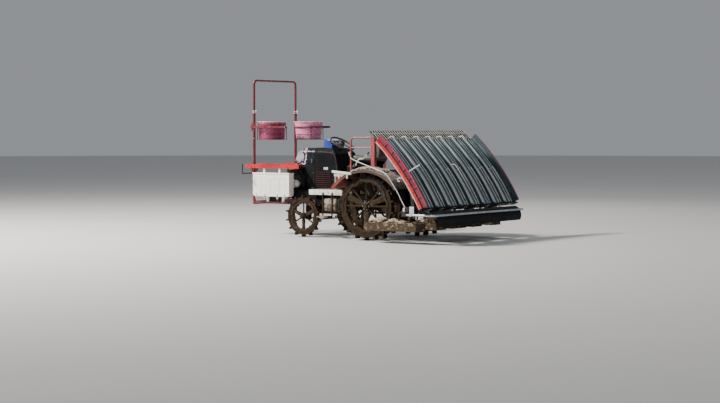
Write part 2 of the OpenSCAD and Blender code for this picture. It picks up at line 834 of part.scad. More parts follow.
module lift_links() {
  color(cast_grey) difference() {
    union() {
      both_sides() {
        block([low_rear[0], link_y, low_front[1] - 24], [low_front[0], link_y + link_t, low_front[1] + 24]);
        for (p = [low_front, low_rear]) bar_y(p[0], p[1], link_y, link_y + link_t, 30);
      }
      bar_y(cyl_rear[0], cyl_rear[1], -link_y, link_y, 8);
      bar_y(low_rear[0] + 100, low_rear[1], -link_y, link_y, 20);
    }
    both_sides() for (p = [low_front, low_rear]) bar_y(p[0], p[1], link_y - 1, link_y + link_t + 1, pin_r + run);
  }
}

module top_link() {
  color(cast_grey) difference() {
    union() {
      block([top_rear[0], -12, top_front[1] - 20], [top_front[0], 12, top_front[1] + 20]);
      for (p = [top_front, top_rear]) bar_y(p[0], p[1], -30, 30, 26);
    }
    for (p = [top_front, top_rear]) bar_y(p[0], p[1], -31, 31, pin_r + run);
  }
}

// Places the children along the lift cylinder: +X runs from the chassis pin to the link pin
module along_cylinder() {
  translate([cyl_front[0], 0, cyl_front[1]]) rotate([0, -cyl_a, 0]) children();
}

module lift_barrel() {
  color(charcoal) along_cylinder() difference() {
    union() {
      translate([20, 0, 0]) rotate([0, 90, 0]) cylinder(h = 210, r = 30);
      rotate([90, 0, 0]) translate([0, 0, -25]) cylinder(h = 50, r = 26);
    }
    translate([70, 0, 0]) rotate([0, 90, 0]) cylinder(h = 161, r = 14 + run);
    rotate([90, 0, 0]) translate([0, 0, -26]) cylinder(h = 52, r = pin_r + run);
  }
}

module lift_rod() {
  color(galvanised) along_cylinder() difference() {
    union() {
      translate([110, 0, 0]) rotate([0, 90, 0]) cylinder(h = cyl_l - 20 - 110, r = 14);
      translate([cyl_l, 0, 0]) rotate([90, 0, 0]) translate([0, 0, -20]) cylinder(h = 40, r = 28);
    }
    translate([cyl_l, 0, 0]) rotate([90, 0, 0]) translate([0, 0, -21]) cylinder(h = 42, r = 18);
  }
}

beam_front_x = beam_x + beam_w / 2;
beam_rear_x = beam_x - beam_w / 2;
beam_y = table_y - 80;

// Floats as [middle along Y, width, nose, tail]
outer_float = [table_y - 205, 240, rx - 150, rx - 1045];
mid_float = [475, 240, rx - 695, rx - 1045];
centre_float = [0, 360, rx - 670, rx - 1045];

module planter_frame() {
  mast_top = top_rear[1] + 30;
  color(cast_grey) union() {
    block([beam_rear_x, -beam_y, beam_z - beam_w / 2], [beam_front_x, beam_y, beam_z + beam_w / 2]);
    both_sides() {
      side_slab(plate_y - 6, plate_y + 10)
        polygon([[beam_front_x, beam_z - 35], [low_rear[0] + 28, low_rear[1] - 30], [low_rear[0] + 28, low_rear[1] + 30],
          [top_rear[0] + 28, mast_top], [top_rear[0] - 28, mast_top], [beam_front_x, beam_z + 35]]);
      bar_y(low_rear[0], low_rear[1], plate_y - 6, link_y + link_t + 6, pin_r);
      for (f = [outer_float, mid_float])
        for (s = [-1, 1])
          block([beam_x - 20, f[0] + s * 60 - 6, float_z + float_h], [beam_x + 20, f[0] + s * 60 + 6, beam_z - 30]);
      block([beam_x - 20, 84, float_z + float_h], [beam_x + 20, 96, beam_z - 30]);
      block([beam_rear_x, beam_y - 20, beam_z - 80], [beam_front_x, table_y - 4, beam_z - 20]);
    }
    bar_y(top_rear[0], top_rear[1], -plate_y + 6, plate_y - 6, pin_r);
  }
}

module drive_cases() {
  r = 46;
  color(cast_grey) for (y = case_y) {
    side_slab(y - 35, y + 35) difference() {
      union() {
        translate(rotor) circle(r = r);
        polygon([[beam_rear_x, beam_z + 30], [beam_rear_x, beam_z - 35], [rotor[0] + 10, rotor[1] - r + 2],
          [rotor[0] + 14, rotor[1] + r - 3]]);
      }
      translate(rotor) circle(r = rotor_shaft_r + run);
    }
  }
}

// One planting unit on the shaft: an oblong rotary case with an arm and a fork at each end
module planting_unit(y) {
  w = 44;
  translate([rotor[0], y, rotor[1]]) {
    side_slab(-w / 2, w / 2) union() {
      for (s = [-1, 1]) translate([s * 52, 0]) circle(r = 26);
      polygon([[-52, -26], [52, -26], [52, 26], [-52, 26]]);
      circle(r = 34);
    }
    for (s = [-1, 1]) {
      side_slab(w / 2, w / 2 + 26) polygon([[s * 30, -s * 16], [s * 84, -s * 16], [s * 92, s * 20], [s * 30, s * 16]]);
      for (k = [6, 18]) side_slab(w / 2 + k - 2, w / 2 + k + 2)
        polygon([[s * 76, s * 10], [s * 92, s * 10], [s * (fork_r - 22), s * 68], [s * (fork_r - 30), s * 68]]);
    }
  }
}

module planting_rotors() {
  color(charcoal) union() {
    bar_y(rotor[0], rotor[1], row_y[0] - 40, row_y[rows - 1] + 40, rotor_shaft_r);
    for (y = row_y) planting_unit(y - 8);
  }
}

module guide_rail() {
  lip = 32;
  depth = 40;
  t = 16;
  p0 = table_at(table_r - depth, table_a2 + 0.005);
  p1 = table_at(table_r + lip, table_a2 + 0.005);
  d = t * [-sin(table_a2), cos(table_a2)];
  color(charcoal) union() {
    side_slab(-table_y - 60, table_y + 60) polygon([p0, p1, p1 + d, p0 + d]);
    for (y = case_y) side_slab(y + 45, y + 75)
      polygon([[beam_rear_x, beam_z + 30], [beam_rear_x, beam_z + 5], p0 + d, p0 + 0.4 * (p1 - p0) + d, p0]);
  }
}

stringer_r = table_r - table_t - 30;
support_a = 141.4;
support_rail_r = 17;

module table_supports() {
  c = table_at(stringer_r - slide_gap - support_rail_r, support_a);
  top = beam_z + beam_w / 2;
  color(cast_grey) union() {
    bar_y(c[0], c[1], -table_y - 60, table_y + 60, support_rail_r);
    for (y = [-950, -350, 350, 950]) side_slab(y - 15, y + 15)
      polygon([[beam_x - 25, top], [beam_x + 25, top], [c[0] + 15, c[1] - 4], [c[0] - 15, c[1] + 2]]);
  }
}

guard_r = 14;
guard_z = beam_z - 60;
guard_bend = 60;
guard_arm_y = table_y - 20;

module rear_guard() {
  x = rear_x + guard_r;
  y = guard_arm_y;
  bend = guard_bend;
  color(galvanised) union() {
    both_sides() {
      translate([x + bend, y, guard_z]) rotate([0, 90, 0]) cylinder(h = beam_rear_x - x - bend, r = guard_r);
      translate([x + bend, y - bend, guard_z]) rotate([0, 0, 90])
        rotate_extrude(angle = 90, $fn = 64) translate([bend, 0]) circle(r = guard_r);
    }
    bar_y(x, guard_z, -y + bend, y - bend, guard_r);
  }
}

module rear_apron() {
  r0 = fork_r + 9;
  pipe_face = rear_x + 2 * guard_r + slide_gap;
  half_w = guard_arm_y - guard_bend - 5;
  end_y = half_w - 15;
  color("#15171b") union() {
    side_slab(-half_w, half_w) ring_sector(rotor, r0, r0 + 4, 105, 212);
    for (y = concat(case_y, [-end_y, end_y]))
      block([pipe_face, y - 10, guard_z - 8], [rotor[0] - 100, y + 10, guard_z + 8]);
  }
}

// Side outline of a float: flat underside, raised nose
module float_outline(nose, tail) {
  h = float_h;
  polygon([[tail, float_z], [nose - 110, float_z], [nose - 40, float_z + 18], [nose, float_z + 50],
    [nose - 6, float_z + 64], [nose - 70, float_z + h - 8], [nose - 140, float_z + h], [tail, float_z + h]]);
}

module float_body(f) {
  y0 = f[0] - f[1] / 2;
  y1 = f[0] + f[1] / 2;
  nose = f[2];
  intersection() {
    side_slab(y0, y1) float_outline(nose, f[3]);
    translate([0, 0, float_z - 1]) linear_extrude(height = float_h + 2)
      polygon([[f[3], y0], [nose - 90, y0], [nose - 25, y0 + 45], [nose, y0 + 85], [nose, y1 - 85],
        [nose - 25, y1 - 45], [nose - 90, y1], [f[3], y1]]);
  }
}

module floats() {
  color(mud_brown) union() {
    both_sides() {
      float_body(outer_float);
      float_body(mid_float);
    }
    float_body(centre_float);
  }
}

module seedling_table() {
  ridge_w = 20;
  ridge_h = 45;
  color(slate) union() {
    side_slab(-table_y, table_y) ring_sector(table_c, table_r - table_t, table_r, table_a1, table_a2);
    for (i = [0 : rows]) {
      y = -table_y + i * row_pitch;
      y0 = max(-table_y, y - ridge_w / 2);
      y1 = min(table_y, y + ridge_w / 2);
      side_slab(y0, y1) ring_sector(table_c, table_r - table_t, table_r + ridge_h, table_a1, table_a2);
    }
    for (a = [support_a, table_a1 + 1.2, table_a2 - 2.2])
      side_slab(-table_y, table_y) ring_sector(table_c, stringer_r, table_r - table_t + 1, a - 0.5, a + 0.5);
  }
}

extension_l = 200;

module table_extension() {
  p = table_at(table_r - table_t / 2, table_a1);
  d = extension_l * [sin(table_a1), -cos(table_a1)];
  q = p + d;
  n = rows * 5;
  wire = 8;
  sheet = 4;
  out = [cos(table_a1), sin(table_a1)];
  wire_off = wire / 2 * out;
  sheet_off = (wire / 2 + sheet) * out;
  s = p + 0.05 * d;
  color(galvanised) union() {
    bar_y(q[0], q[1], -table_y, table_y, 11);
    bar_y(p[0] + 0.05 * d[0], p[1] + 0.05 * d[1], -table_y, table_y, 10);
    bar_y(p[0] + d[0] / 2, p[1] + d[1] / 2, -table_y, table_y, 5);
    side_slab(-table_y, table_y)
      polygon([s - sheet_off, q - sheet_off, q - 0.8 * wire_off, s - 0.8 * wire_off]);
    for (i = [0 : n]) {
      y = -table_y + 10 + i * (2 * table_y - 20) / n;
      side_slab(y - wire / 2, y + wire / 2)
        polygon([p + 0.05 * d - wire_off, q - wire_off, q + wire_off, p + 0.05 * d + wire_off]);
    }
  }
}

// Curved red guards along both sides of the table
module side_guards() {
  t = 25;
  front_w = 52;
  rear_w = 14;
  a0 = table_a1 - 0.4;
  a1 = table_a2 - 0.1;
  low = table_r - 44;
  high = table_r + 88;
  color(bright_red) both_sides() {
    side_slab(table_y, table_y + 6) ring_sector(table_c, low, high, a0, a1);
    side_slab(table_y, table_y + t) ring_sector(table_c, low, low + front_w, a0, a1);
    side_slab(table_y, table_y + t) ring_sector(table_c, high - rear_w, high, a0, a1);
  }
}

module press_rods() {
  r = 5;
  gap = 60;
  top_a = table_a1 + 10;
  low_a = table_a2 - 1.5;
  foot_a = 0.16;
  color(pale) for (y = row_y) side_slab(y - r, y + r) union() {
    ring_sector(table_c, table_r + gap - r, table_r + gap + r, top_a, low_a);
    ring_sector(table_c, table_r, table_r + gap, top_a, top_a + foot_a);
  }
}

chassis_frame();
transmission_case();
engine_block();
front_axle_housing();
rear_axle_housing();
step_floor();
operator_deck();
rear_fenders();
side_boxes();
foot_steps();
seat_base();
seat_cushion();
seat_back();
dash_cowl();
instrument_pod();
control_levers();
guard_rails();
headlamps();
nose_covers();
rack_posts();
rack_shelves();
rack_rails();
post_hoop();
tub_left();
tub_right();
side_trays();
marker_rods();
hitch_bracket();
hood();
steering_wheel();
knuckle_left();
knuckle_right();
tie_rod();
front_wheel_left();
front_wheel_right();
front_tyre_left();
front_tyre_right();
rear_wheel_left();
rear_wheel_right();
rear_tyre_left();
rear_tyre_right();
lift_links();
top_link();
lift_barrel();
lift_rod();
planter_frame();
drive_cases();
guide_rail();
table_supports();
rear_guard();
rear_apron();
floats();
seedling_table();
table_extension();
side_guards();
press_rods();
planting_rotors();
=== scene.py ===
"""Dresses the riding rice transplanter: finishes, fittings, seat, stage, light and camera."""

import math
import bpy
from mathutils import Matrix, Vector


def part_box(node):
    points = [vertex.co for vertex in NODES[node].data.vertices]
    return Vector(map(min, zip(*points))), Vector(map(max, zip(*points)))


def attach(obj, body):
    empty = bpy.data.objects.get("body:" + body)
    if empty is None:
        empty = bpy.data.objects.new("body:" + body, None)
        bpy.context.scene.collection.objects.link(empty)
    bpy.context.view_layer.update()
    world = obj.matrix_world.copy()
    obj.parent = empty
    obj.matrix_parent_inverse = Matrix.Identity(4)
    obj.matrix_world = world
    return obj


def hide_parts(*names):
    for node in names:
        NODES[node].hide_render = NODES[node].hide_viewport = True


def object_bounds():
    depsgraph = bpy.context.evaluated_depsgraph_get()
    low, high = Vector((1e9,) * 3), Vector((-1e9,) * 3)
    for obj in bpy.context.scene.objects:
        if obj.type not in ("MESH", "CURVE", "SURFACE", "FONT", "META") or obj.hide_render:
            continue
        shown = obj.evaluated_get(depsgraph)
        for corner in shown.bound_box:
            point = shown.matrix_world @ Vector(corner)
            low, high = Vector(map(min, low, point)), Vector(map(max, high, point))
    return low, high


bl_info = {
    "name": "Rice transplanter dressing",
    "version": (1, 0, 0),
    "blender": (4, 5, 0),
    "location": "View3D > Sidebar > Transplanter",
    "description": "Finishes and fittings for the packed rice transplanter",
    "category": "Object",
}

import bpy
from bpy.props import FloatProperty, FloatVectorProperty, PointerProperty
from mathutils import Matrix, Vector, noise

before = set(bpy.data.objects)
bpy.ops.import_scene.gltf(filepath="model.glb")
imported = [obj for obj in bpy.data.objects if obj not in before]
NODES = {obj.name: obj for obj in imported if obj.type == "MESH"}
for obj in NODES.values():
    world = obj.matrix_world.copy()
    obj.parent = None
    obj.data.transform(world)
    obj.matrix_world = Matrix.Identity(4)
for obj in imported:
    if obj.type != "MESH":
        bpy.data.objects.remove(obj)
CAD_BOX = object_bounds()

# Places worked out from the frame, in metres
FLOOR_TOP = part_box("step_floor")[1].z
FLOOR_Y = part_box("step_floor")[1].y
SEAT_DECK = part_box("guard_rails")[0].z
DECK_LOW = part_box("operator_deck")[0]
REAR_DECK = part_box("operator_deck")[1].z
HOOD_LOW, HOOD_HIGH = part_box("hood")
COWL_LOW, COWL_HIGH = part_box("dash_cowl")
POST_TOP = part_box("rack_posts")[1].z
POST_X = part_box("post_hoop")[1].x - 0.0172
POST_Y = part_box("post_hoop")[1].y - 0.0172
TRAY_LOW, TRAY_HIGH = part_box("side_trays")
SHELF_LOW, SHELF_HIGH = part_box("rack_shelves")
SHELF_SHORT_X = SHELF_HIGH.x - 0.79
RAIL_LOW, RAIL_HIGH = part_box("rack_rails")
TUB_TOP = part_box("tub_left")[1].z
GUARD_LOW, GUARD_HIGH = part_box("guard_rails")
COVER_OUT = HOOD_HIGH.y + 0.04
REAR_HUB = (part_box("rear_tyre_left")[0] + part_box("rear_tyre_left")[1]) / 2
FRONT_HUB = (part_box("front_tyre_left")[0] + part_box("front_tyre_left")[1]) / 2
TABLE_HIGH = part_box("seedling_table")[1]
TABLE_Y = TABLE_HIGH.y
ROTOR_LOW, ROTOR_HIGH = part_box("planting_rotors")
FLOAT_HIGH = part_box("floats")[1]
FLOAT_Y = TABLE_Y - 0.205

# The middle of the steering wheel
STEER_HUB = Vector((FRONT_HUB.x - 0.245, 0, 1.33))

# The fenders are arcs of this outer radius about this centre in the side view
FENDER_R = REAR_HUB.z + 0.233
FENDER_C = Vector((REAR_HUB.x - 0.005, 0, REAR_HUB.z - 0.2))

# The seedling table is an arc of this radius about this centre in the side view
TABLE_R = 3.23
TABLE_A1 = math.radians(132.0)
TABLE_A2 = math.radians(152.3)
TABLE_TOP = 1.385
TABLE_CENTRE = Vector((REAR_HUB.x - 0.515 - TABLE_R * math.cos(TABLE_A1), 0, TABLE_TOP - TABLE_R * math.sin(TABLE_A1)))
ROWS = 8
ROW_PITCH = 2 * TABLE_Y / ROWS
DIVIDER_YS = [row * ROW_PITCH - TABLE_Y for row in range(1, ROWS)]
RIDGE = 0.045
GUARD_IN, GUARD_BAND, GUARD_OUT, GUARD_RIM = TABLE_R - 0.044, 0.052, TABLE_R + 0.088, 0.014

SIDES = (1, -1)
X, Y, Z = Vector((1, 0, 0)), Vector((0, 1, 0)), Vector((0, 0, 1))


class TransplanterSizes(bpy.types.PropertyGroup):
    """Sizes of the fittings"""

    bolt: FloatProperty(name="Bolt", description="Radius of a fastener's head", default=0.009, unit="LENGTH")
    rib: FloatProperty(name="Lane rib", description="Width of a rib along a lane", default=0.022, unit="LENGTH")
    mud_top: FloatProperty(name="Mud line", description="Height that the mud reaches", default=0.62, unit="LENGTH")
    tread: FloatProperty(name="Tread rib", description="Height of the deck's ribs", default=0.004, unit="LENGTH")


class TransplanterColours(bpy.types.PropertyGroup):
    """Colours of the finishes"""

    bright_red: FloatVectorProperty(
        name="Bright red", description="Carrier shelves and side guards", subtype="COLOR", default=(0.52, 0.01, 0.014)
    )
    dark_red: FloatVectorProperty(
        name="Dark red", description="Carrier posts and fenders", subtype="COLOR", default=(0.085, 0.007, 0.01)
    )
    navy: FloatVectorProperty(
        name="Navy", description="Bonnet", subtype="COLOR", default=(0.007, 0.011, 0.026)
    )
    mud: FloatVectorProperty(name="Mud", description="Dried paddy mud", subtype="COLOR", default=(0.19, 0.135, 0.08))
    pink: FloatVectorProperty(name="Magenta", description="Left tub", subtype="COLOR", default=(0.34, 0.02, 0.115))
    pale_pink: FloatVectorProperty(name="Pink", description="Right tub", subtype="COLOR", default=(0.8, 0.26, 0.45))
    slate: FloatVectorProperty(name="Slate", description="Table lanes", subtype="COLOR", default=(0.036, 0.066, 0.08))


# Mesh work

def start():
    """Leave edit mode with nothing selected."""
    if bpy.context.object and bpy.context.object.mode != "OBJECT":
        bpy.ops.object.mode_set(mode="OBJECT")
    bpy.ops.object.select_all(action="DESELECT")


def settle(name):
    """Name the active piece and move its place into its mesh."""
    piece = bpy.context.object
    piece.name = piece.data.name = name
    bpy.ops.object.transform_apply(location=True, rotation=True, scale=True)
    return piece


def only(piece):
    """Select this piece alone."""
    start()
    piece.select_set(True)
    bpy.context.view_layer.objects.active = piece
    return piece


def round_edges(piece, width, segments=2, angle=35):
    """Round a piece's sharp edges in edit mode."""
    only(piece)
    bpy.ops.object.mode_set(mode="EDIT")
    bpy.ops.mesh.select_mode(type="EDGE")
    bpy.ops.mesh.select_all(action="DESELECT")
    bpy.ops.mesh.edges_select_sharp(sharpness=math.radians(angle))
    bpy.ops.mesh.bevel(offset=width, segments=segments, affect="EDGES", clamp_overlap=True)
    bpy.ops.object.mode_set(mode="OBJECT")
    bpy.ops.object.shade_smooth_by_angle(angle=math.radians(40))
    return piece


def plain_block(name, low, high):
    """A sharp block between two corners."""
    start()
    low, high = Vector(low), Vector(high)
    bpy.ops.mesh.primitive_cube_add(size=1, location=(low + high) / 2)
    bpy.context.object.scale = high - low
    return settle(name)


def block(name, low, high, edge=0.002, segments=2):
    """A block between two corners, with rounded edges."""
    return round_edges(plain_block(name, low, high), edge, segments)


def bar(name, a, b, r, sides=16, edge=0.0):
    """A round bar from a to b, its ends chamfered."""
    start()
    a, b = Vector(a), Vector(b)
    bpy.ops.mesh.primitive_cylinder_add(vertices=sides, radius=r, depth=(b - a).length, location=(a + b) / 2)
    bpy.context.object.rotation_mode = "QUATERNION"
    bpy.context.object.rotation_quaternion = (b - a).to_track_quat("Z", "Y")
    return round_edges(settle(name), edge or r * 0.15, 1, 50)


def bar_x(name, x0, x1, y, z, *shape):
    """A round bar along X."""
    return bar(name, (x0, y, z), (x1, y, z), *shape)


def bar_y(name, x, y0, y1, z, *shape):
    """A round bar along Y."""
    return bar(name, (x, y0, z), (x, y1, z), *shape)


def bar_z(name, x, y, z0, z1, *shape):
    """A round bar along Z."""
    return bar(name, (x, y, z0), (x, y, z1), *shape)


def tube(name, points, r, order=3, steps=6, sides=4):
    """A bent round tube along points, with closed ends."""
    start()
    bpy.ops.curve.primitive_nurbs_path_add()
    path = bpy.context.object
    path.data.splines.clear()
    spline = path.data.splines.new("NURBS")
    spline.points.add(len(points) - 1)
    for point, place in zip(spline.points, points):
        point.co = (*place, 1)
    spline.order_u = min(order, len(points))
    spline.use_endpoint_u = True
    path.data.resolution_u = steps
    path.data.dimensions = "3D"
    path.data.bevel_depth = r
    path.data.bevel_resolution = sides
    path.data.use_fill_caps = True
    bpy.ops.object.convert(target="MESH")
    piece = settle(name)
    bpy.ops.object.shade_smooth_by_angle(angle=math.radians(50))
    return piece


def outlined(name, outline):
    """A flat face through points, all of it selected in edit mode."""
    start()
    bpy.ops.mesh.primitive_circle_add(vertices=len(outline), fill_type="NGON")
    piece = settle(name)
    for vertex, place in zip(piece.data.vertices, outline):
        vertex.co = place
    bpy.ops.object.mode_set(mode="EDIT")
    bpy.ops.mesh.select_all(action="SELECT")
    return piece


def plate(name, outline, thickness, edge=0.0015):
    """A flat plate from an outline of points in one plane, given its thickness as a vector."""
    piece = outlined(name, outline)
    bpy.ops.mesh.extrude_region_move(TRANSFORM_OT_translate={"value": Vector(thickness)})
    bpy.ops.mesh.select_all(action="SELECT")
    bpy.ops.mesh.normals_make_consistent(inside=False)
    return round_edges(piece, edge)


def swept(name, outline, centre, angle, steps):
    """An outline of points swept about an axis along Y, from +X towards +Z."""
    piece = outlined(name, outline)
    bpy.ops.mesh.spin(steps=steps, angle=angle, center=centre, axis=(0, 1, 0))
    bpy.ops.mesh.select_all(action="SELECT")
    bpy.ops.mesh.remove_doubles(threshold=0.00001)
    bpy.ops.mesh.normals_make_consistent(inside=False)
    bpy.ops.object.mode_set(mode="OBJECT")
    bpy.ops.object.shade_smooth_by_angle(angle=math.radians(40))
    return piece


def ring(name, centre, axis, radius, thick, sides=32, small=10):
    """A round ring about an axis."""
    start()
    bpy.ops.mesh.primitive_torus_add(
        location=centre, rotation=Vector(axis).to_track_quat("Z", "Y").to_euler(),
        major_radius=radius, minor_radius=thick, major_segments=sides, minor_segments=small
    )
    piece = settle(name)
    bpy.ops.object.shade_smooth()
    return piece


def joined(name, parts):
    """Several pieces made one."""
    start()
    for part in parts:
        part.select_set(True)
    bpy.context.view_layer.objects.active = parts[0]
    if len(parts) > 1:
        bpy.ops.object.join()
    piece = bpy.context.object
    piece.name = piece.data.name = name
    return piece


def copied(pattern, matrix):
    """A copy of a pattern with its own mesh."""
    mesh = pattern.data.copy()
    mesh.transform(matrix)
    if matrix.determinant() < 0:
        mesh.flip_normals()
    part = bpy.data.objects.new("copy", mesh)
    bpy.context.collection.objects.link(part)
    return part


def placed(name, pattern, matrices):
    """Copies of a pattern made one piece. The pattern goes."""
    parts = [copied(pattern, matrix) for matrix in matrices]
    bpy.data.objects.remove(pattern)
    return joined(name, parts)


def spread(name, pattern, shifts):
    """Copies of a pattern at each shift, made one piece. The pattern goes."""
    return placed(name, pattern, [Matrix.Translation(shift) for shift in shifts])


def row_of(pattern, count, step, name):
    """Copies of a pattern in a row, made one piece. The pattern goes."""
    return spread(name, pattern, [Vector(step) * k for k in range(count)])


def mirrored(piece):
    """The piece with its mirror image on the other side."""
    return joined(piece.name, [piece, copied(piece, Matrix.Scale(-1, 4, Y))])


def bolts(name, places, size=None):
    """Hexagon bolts with washers at (place, direction)."""
    r = size or bpy.context.scene.transplanter_sizes.bolt
    washer = bar_z("washer", 0, 0, -0.0005, r * 0.25, r * 1.35, 16, r * 0.06)
    head = bar_z("head", 0, 0, r * 0.2, r * 0.95, r, 6, r * 0.12)
    stud = bar_z("stud", 0, 0, r * 0.9, r * 1.35, r * 0.5, 10, r * 0.1)
    turns = [Vector(way).to_track_quat("Z", "Y").to_matrix().to_4x4() for place, way in places]
    matrices = [Matrix.Translation(place) @ turn for (place, way), turn in zip(places, turns)]
    return placed(name, joined("bolt", [washer, head, stud]), matrices)


def outward(spots):
    """Bolt places on both sides that point outwards, from spots on the left side."""
    return [((x, s * y, z), (0, s, 0)) for s in SIDES for x, y, z in spots]


def bolt_circle(x, y, z, radius, count, s):
    """Bolt places on a circle about an axle, pointing to the side s."""
    angles = [2 * math.pi * k / count for k in range(count)]
    return [((x + radius * math.cos(a), y, z + radius * math.sin(a)), (0, s, 0)) for a in angles]


def dress(piece, finish, body):
    """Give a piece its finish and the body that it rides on."""
    piece.data.materials.clear()
    piece.data.materials.append(bpy.data.materials[f"{finish}_finish"])
    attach(piece, body)
    return piece


def fitted(name, parts, finish, body):
    """Several pieces made one and dressed."""
    return dress(joined(name, parts), finish, body)


def both(name, parts, finish, body, slot):
    """Left-hand pieces and their mirror images, made one and dressed."""
    return dress(mirrored(joined(name, parts)), finish, body)


def heap(x, y, z, length, width, height, seed):
    """A lumpy mound of dried mud on a flat top."""
    start()
    bpy.ops.mesh.primitive_ico_sphere_add(subdivisions=4, radius=1, location=(0, 0, 0))
    mound = settle("mound")
    for vertex in mound.data.vertices:
        p = vertex.co.copy()
        p *= 1 + noise.noise(p * 1.7 + X * seed) * 0.35 + noise.noise(p * 4.5 + Y * seed) * 0.16
        vertex.co = (x + p.x * length / 2, y + p.y * width / 2, z + max(-0.004, p.z * height))
    bpy.ops.object.shade_smooth()
    return mound


def table_point(r, a, y=0.0):
    """A point at radius r and angle a of the seedling table."""
    return TABLE_CENTRE + Vector((r * math.cos(a), y, r * math.sin(a)))


def table_strip(name, section, a0, a1, steps):
    """A section of (radius, y) points swept along the table's curve."""
    return swept(name, [table_point(r, a0, y) for r, y in section], TABLE_CENTRE, a1 - a0, steps)


def lane_ys(*offs):
    """The y of each lane's middle, moved by each of the offsets."""
    return [(row + 0.5) * ROW_PITCH - TABLE_Y + off for row in range(ROWS) for off in offs]


# Shader work

class Layout:
    """Adds and links shader nodes in one tree."""

    def __init__(self, tree):
        self.tree = tree
        tree.nodes.clear()
        self.count = 0

    def add(self, kind, values=None, **settings):
        """A node with its settings and its input values or links."""
        node = self.tree.nodes.new(kind)
        node.location = (180 * self.count, -40 * (self.count % 5))
        self.count += 1
        for key, value in settings.items():
            setattr(node, key, value)
        for socket, value in (values or {}).items():
            if isinstance(value, bpy.types.NodeSocket):
                self.tree.links.new(value, node.inputs[socket])
            else:
                node.inputs[socket].default_value = value
        return node

    def math(self, operation, a, b=0.0, clamp=False):
        return self.add("ShaderNodeMath", {0: a, 1: b}, operation=operation, use_clamp=clamp).outputs[0]

    def times(self, a, b, clamp=False):
        return self.math("MULTIPLY", a, b, clamp)

    def plus(self, a, b):
        return self.math("ADD", a, b)

    def minus(self, a, b):
        return self.math("SUBTRACT", a, b)

    def part(self, vector, axis):
        return self.add("ShaderNodeSeparateXYZ", {0: vector}).outputs[axis]

    def noise(self, vector, scale, detail=4.0, rough=0.55):
        node = self.add("ShaderNodeTexNoise", {"Vector": vector, "Scale": scale, "Detail": detail, "Roughness": rough})
        return node.outputs["Fac"]

    def ramp(self, value, low, high, out_low=0.0, out_high=1.0):
        node = self.add(
            "ShaderNodeMapRange", {0: value, 1: low, 2: high, 3: out_low, 4: out_high}, interpolation_type="SMOOTHSTEP"
        )
        return node.outputs[0]

    def mix(self, factor, a, b):
        node = self.add("ShaderNodeMix", {0: factor, 6: a, 7: b}, data_type="RGBA")
        return node.outputs[2]

    def blend(self, factor, a, b):
        return self.add("ShaderNodeMix", {0: factor, 2: a, 3: b}, data_type="FLOAT").outputs[0]

    def stretched(self, vector, scale):
        return self.add("ShaderNodeMapping", {"Vector": vector, "Scale": scale}).outputs[0]


def group(name, inputs, outputs, build):
    """A shader node group with named inputs and outputs, built once."""
    if name in bpy.data.node_groups:
        return bpy.data.node_groups[name]
    tree = bpy.data.node_groups.new(name, "ShaderNodeTree")
    for socket, kind, default in inputs:
        made = tree.interface.new_socket(socket, in_out="INPUT", socket_type=kind)
        if default is not None:
            made.default_value = default
    for socket, kind in outputs:
        tree.interface.new_socket(socket, in_out="OUTPUT", socket_type=kind)
    lay = Layout(tree)
    entry = lay.add("NodeGroupInput")
    results = build(lay, entry.outputs)
    lay.add("NodeGroupOutput", results)
    return tree


F, V, C = "NodeSocketFloat", "NodeSocketVector", "NodeSocketColor"


def mud_group():
    """Dried mud that thins out with height."""
    def build(lay, given):
        z = lay.part(given["Place"], "Z")
        level = lay.ramp(z, given["Top"], lay.times(given["Top"], 0.35), 0.0, 1.0)
        level = lay.times(level, given["Cover"])
        patches = lay.noise(given["Place"], 7.0, 6.0, 0.62)
        sum_ = lay.plus(level, lay.minus(patches, 0.5))
        mask = lay.ramp(sum_, 0.42, 0.58)
        tone = lay.noise(given["Place"], 23.0, 5.0, 0.6)
        dark = lay.mix(tone, (0.05, 0.034, 0.022, 1), given["Colour"])
        pale = lay.mix(lay.ramp(tone, 0.52, 0.72), dark, given["Pale"])
        lumps = lay.times(lay.noise(given["Place"], 46.0, 6.0, 0.7), mask)
        return {"Mask": mask, "Colour": pale, "Lumps": lumps}

    return group(
        "Dried mud",
        [("Place", V, None), ("Top", F, 0.6), ("Cover", F, 0.8), ("Colour", C, (0.19, 0.135, 0.08, 1)),
         ("Pale", C, (0.36, 0.28, 0.19, 1))],
        [("Mask", F), ("Colour", C), ("Lumps", F)], build,
    )


def chips_group():
    """Chips and scratches through paint."""
    def build(lay, given):
        coarse = lay.noise(given["Place"], given["Scale"], 7.0, 0.68)
        patch = lay.noise(given["Place"], lay.times(given["Scale"], 0.17), 2.0, 0.5)
        value = lay.plus(lay.times(coarse, 0.65), lay.times(patch, 0.35))
        limit = lay.minus(0.7, lay.times(given["Amount"], 0.22))
        mask = lay.ramp(value, limit, lay.plus(limit, 0.025))
        rim = lay.ramp(value, lay.minus(limit, 0.03), limit)
        return {"Mask": mask, "Rim": rim}

    return group(
        "Chipped paint", [("Place", V, None), ("Scale", F, 40.0), ("Amount", F, 0.3)], [("Mask", F), ("Rim", F)], build
    )


def dust_group():
    """Dust and sun bleach that lie on upper faces."""
    def build(lay, given):
        up = lay.part(given["Facing"], "Z")
        lying = lay.ramp(up, 0.25, 0.95)
        cloud = lay.ramp(lay.noise(given["Place"], 5.5, 5.0, 0.6), 0.3, 0.7)
        speck = lay.ramp(lay.noise(given["Place"], 160.0, 2.0, 0.5), 0.4, 0.75)
        value = lay.times(lay.plus(lay.times(lying, 0.8), 0.2), cloud)
        value = lay.times(value, lay.plus(lay.times(speck, 0.5), 0.6))
        return {"Mask": lay.times(value, given["Amount"], clamp=True)}

    return group("Lying dust", [("Place", V, None), ("Facing", V, None), ("Amount", F, 0.4)], [("Mask", F)], build)


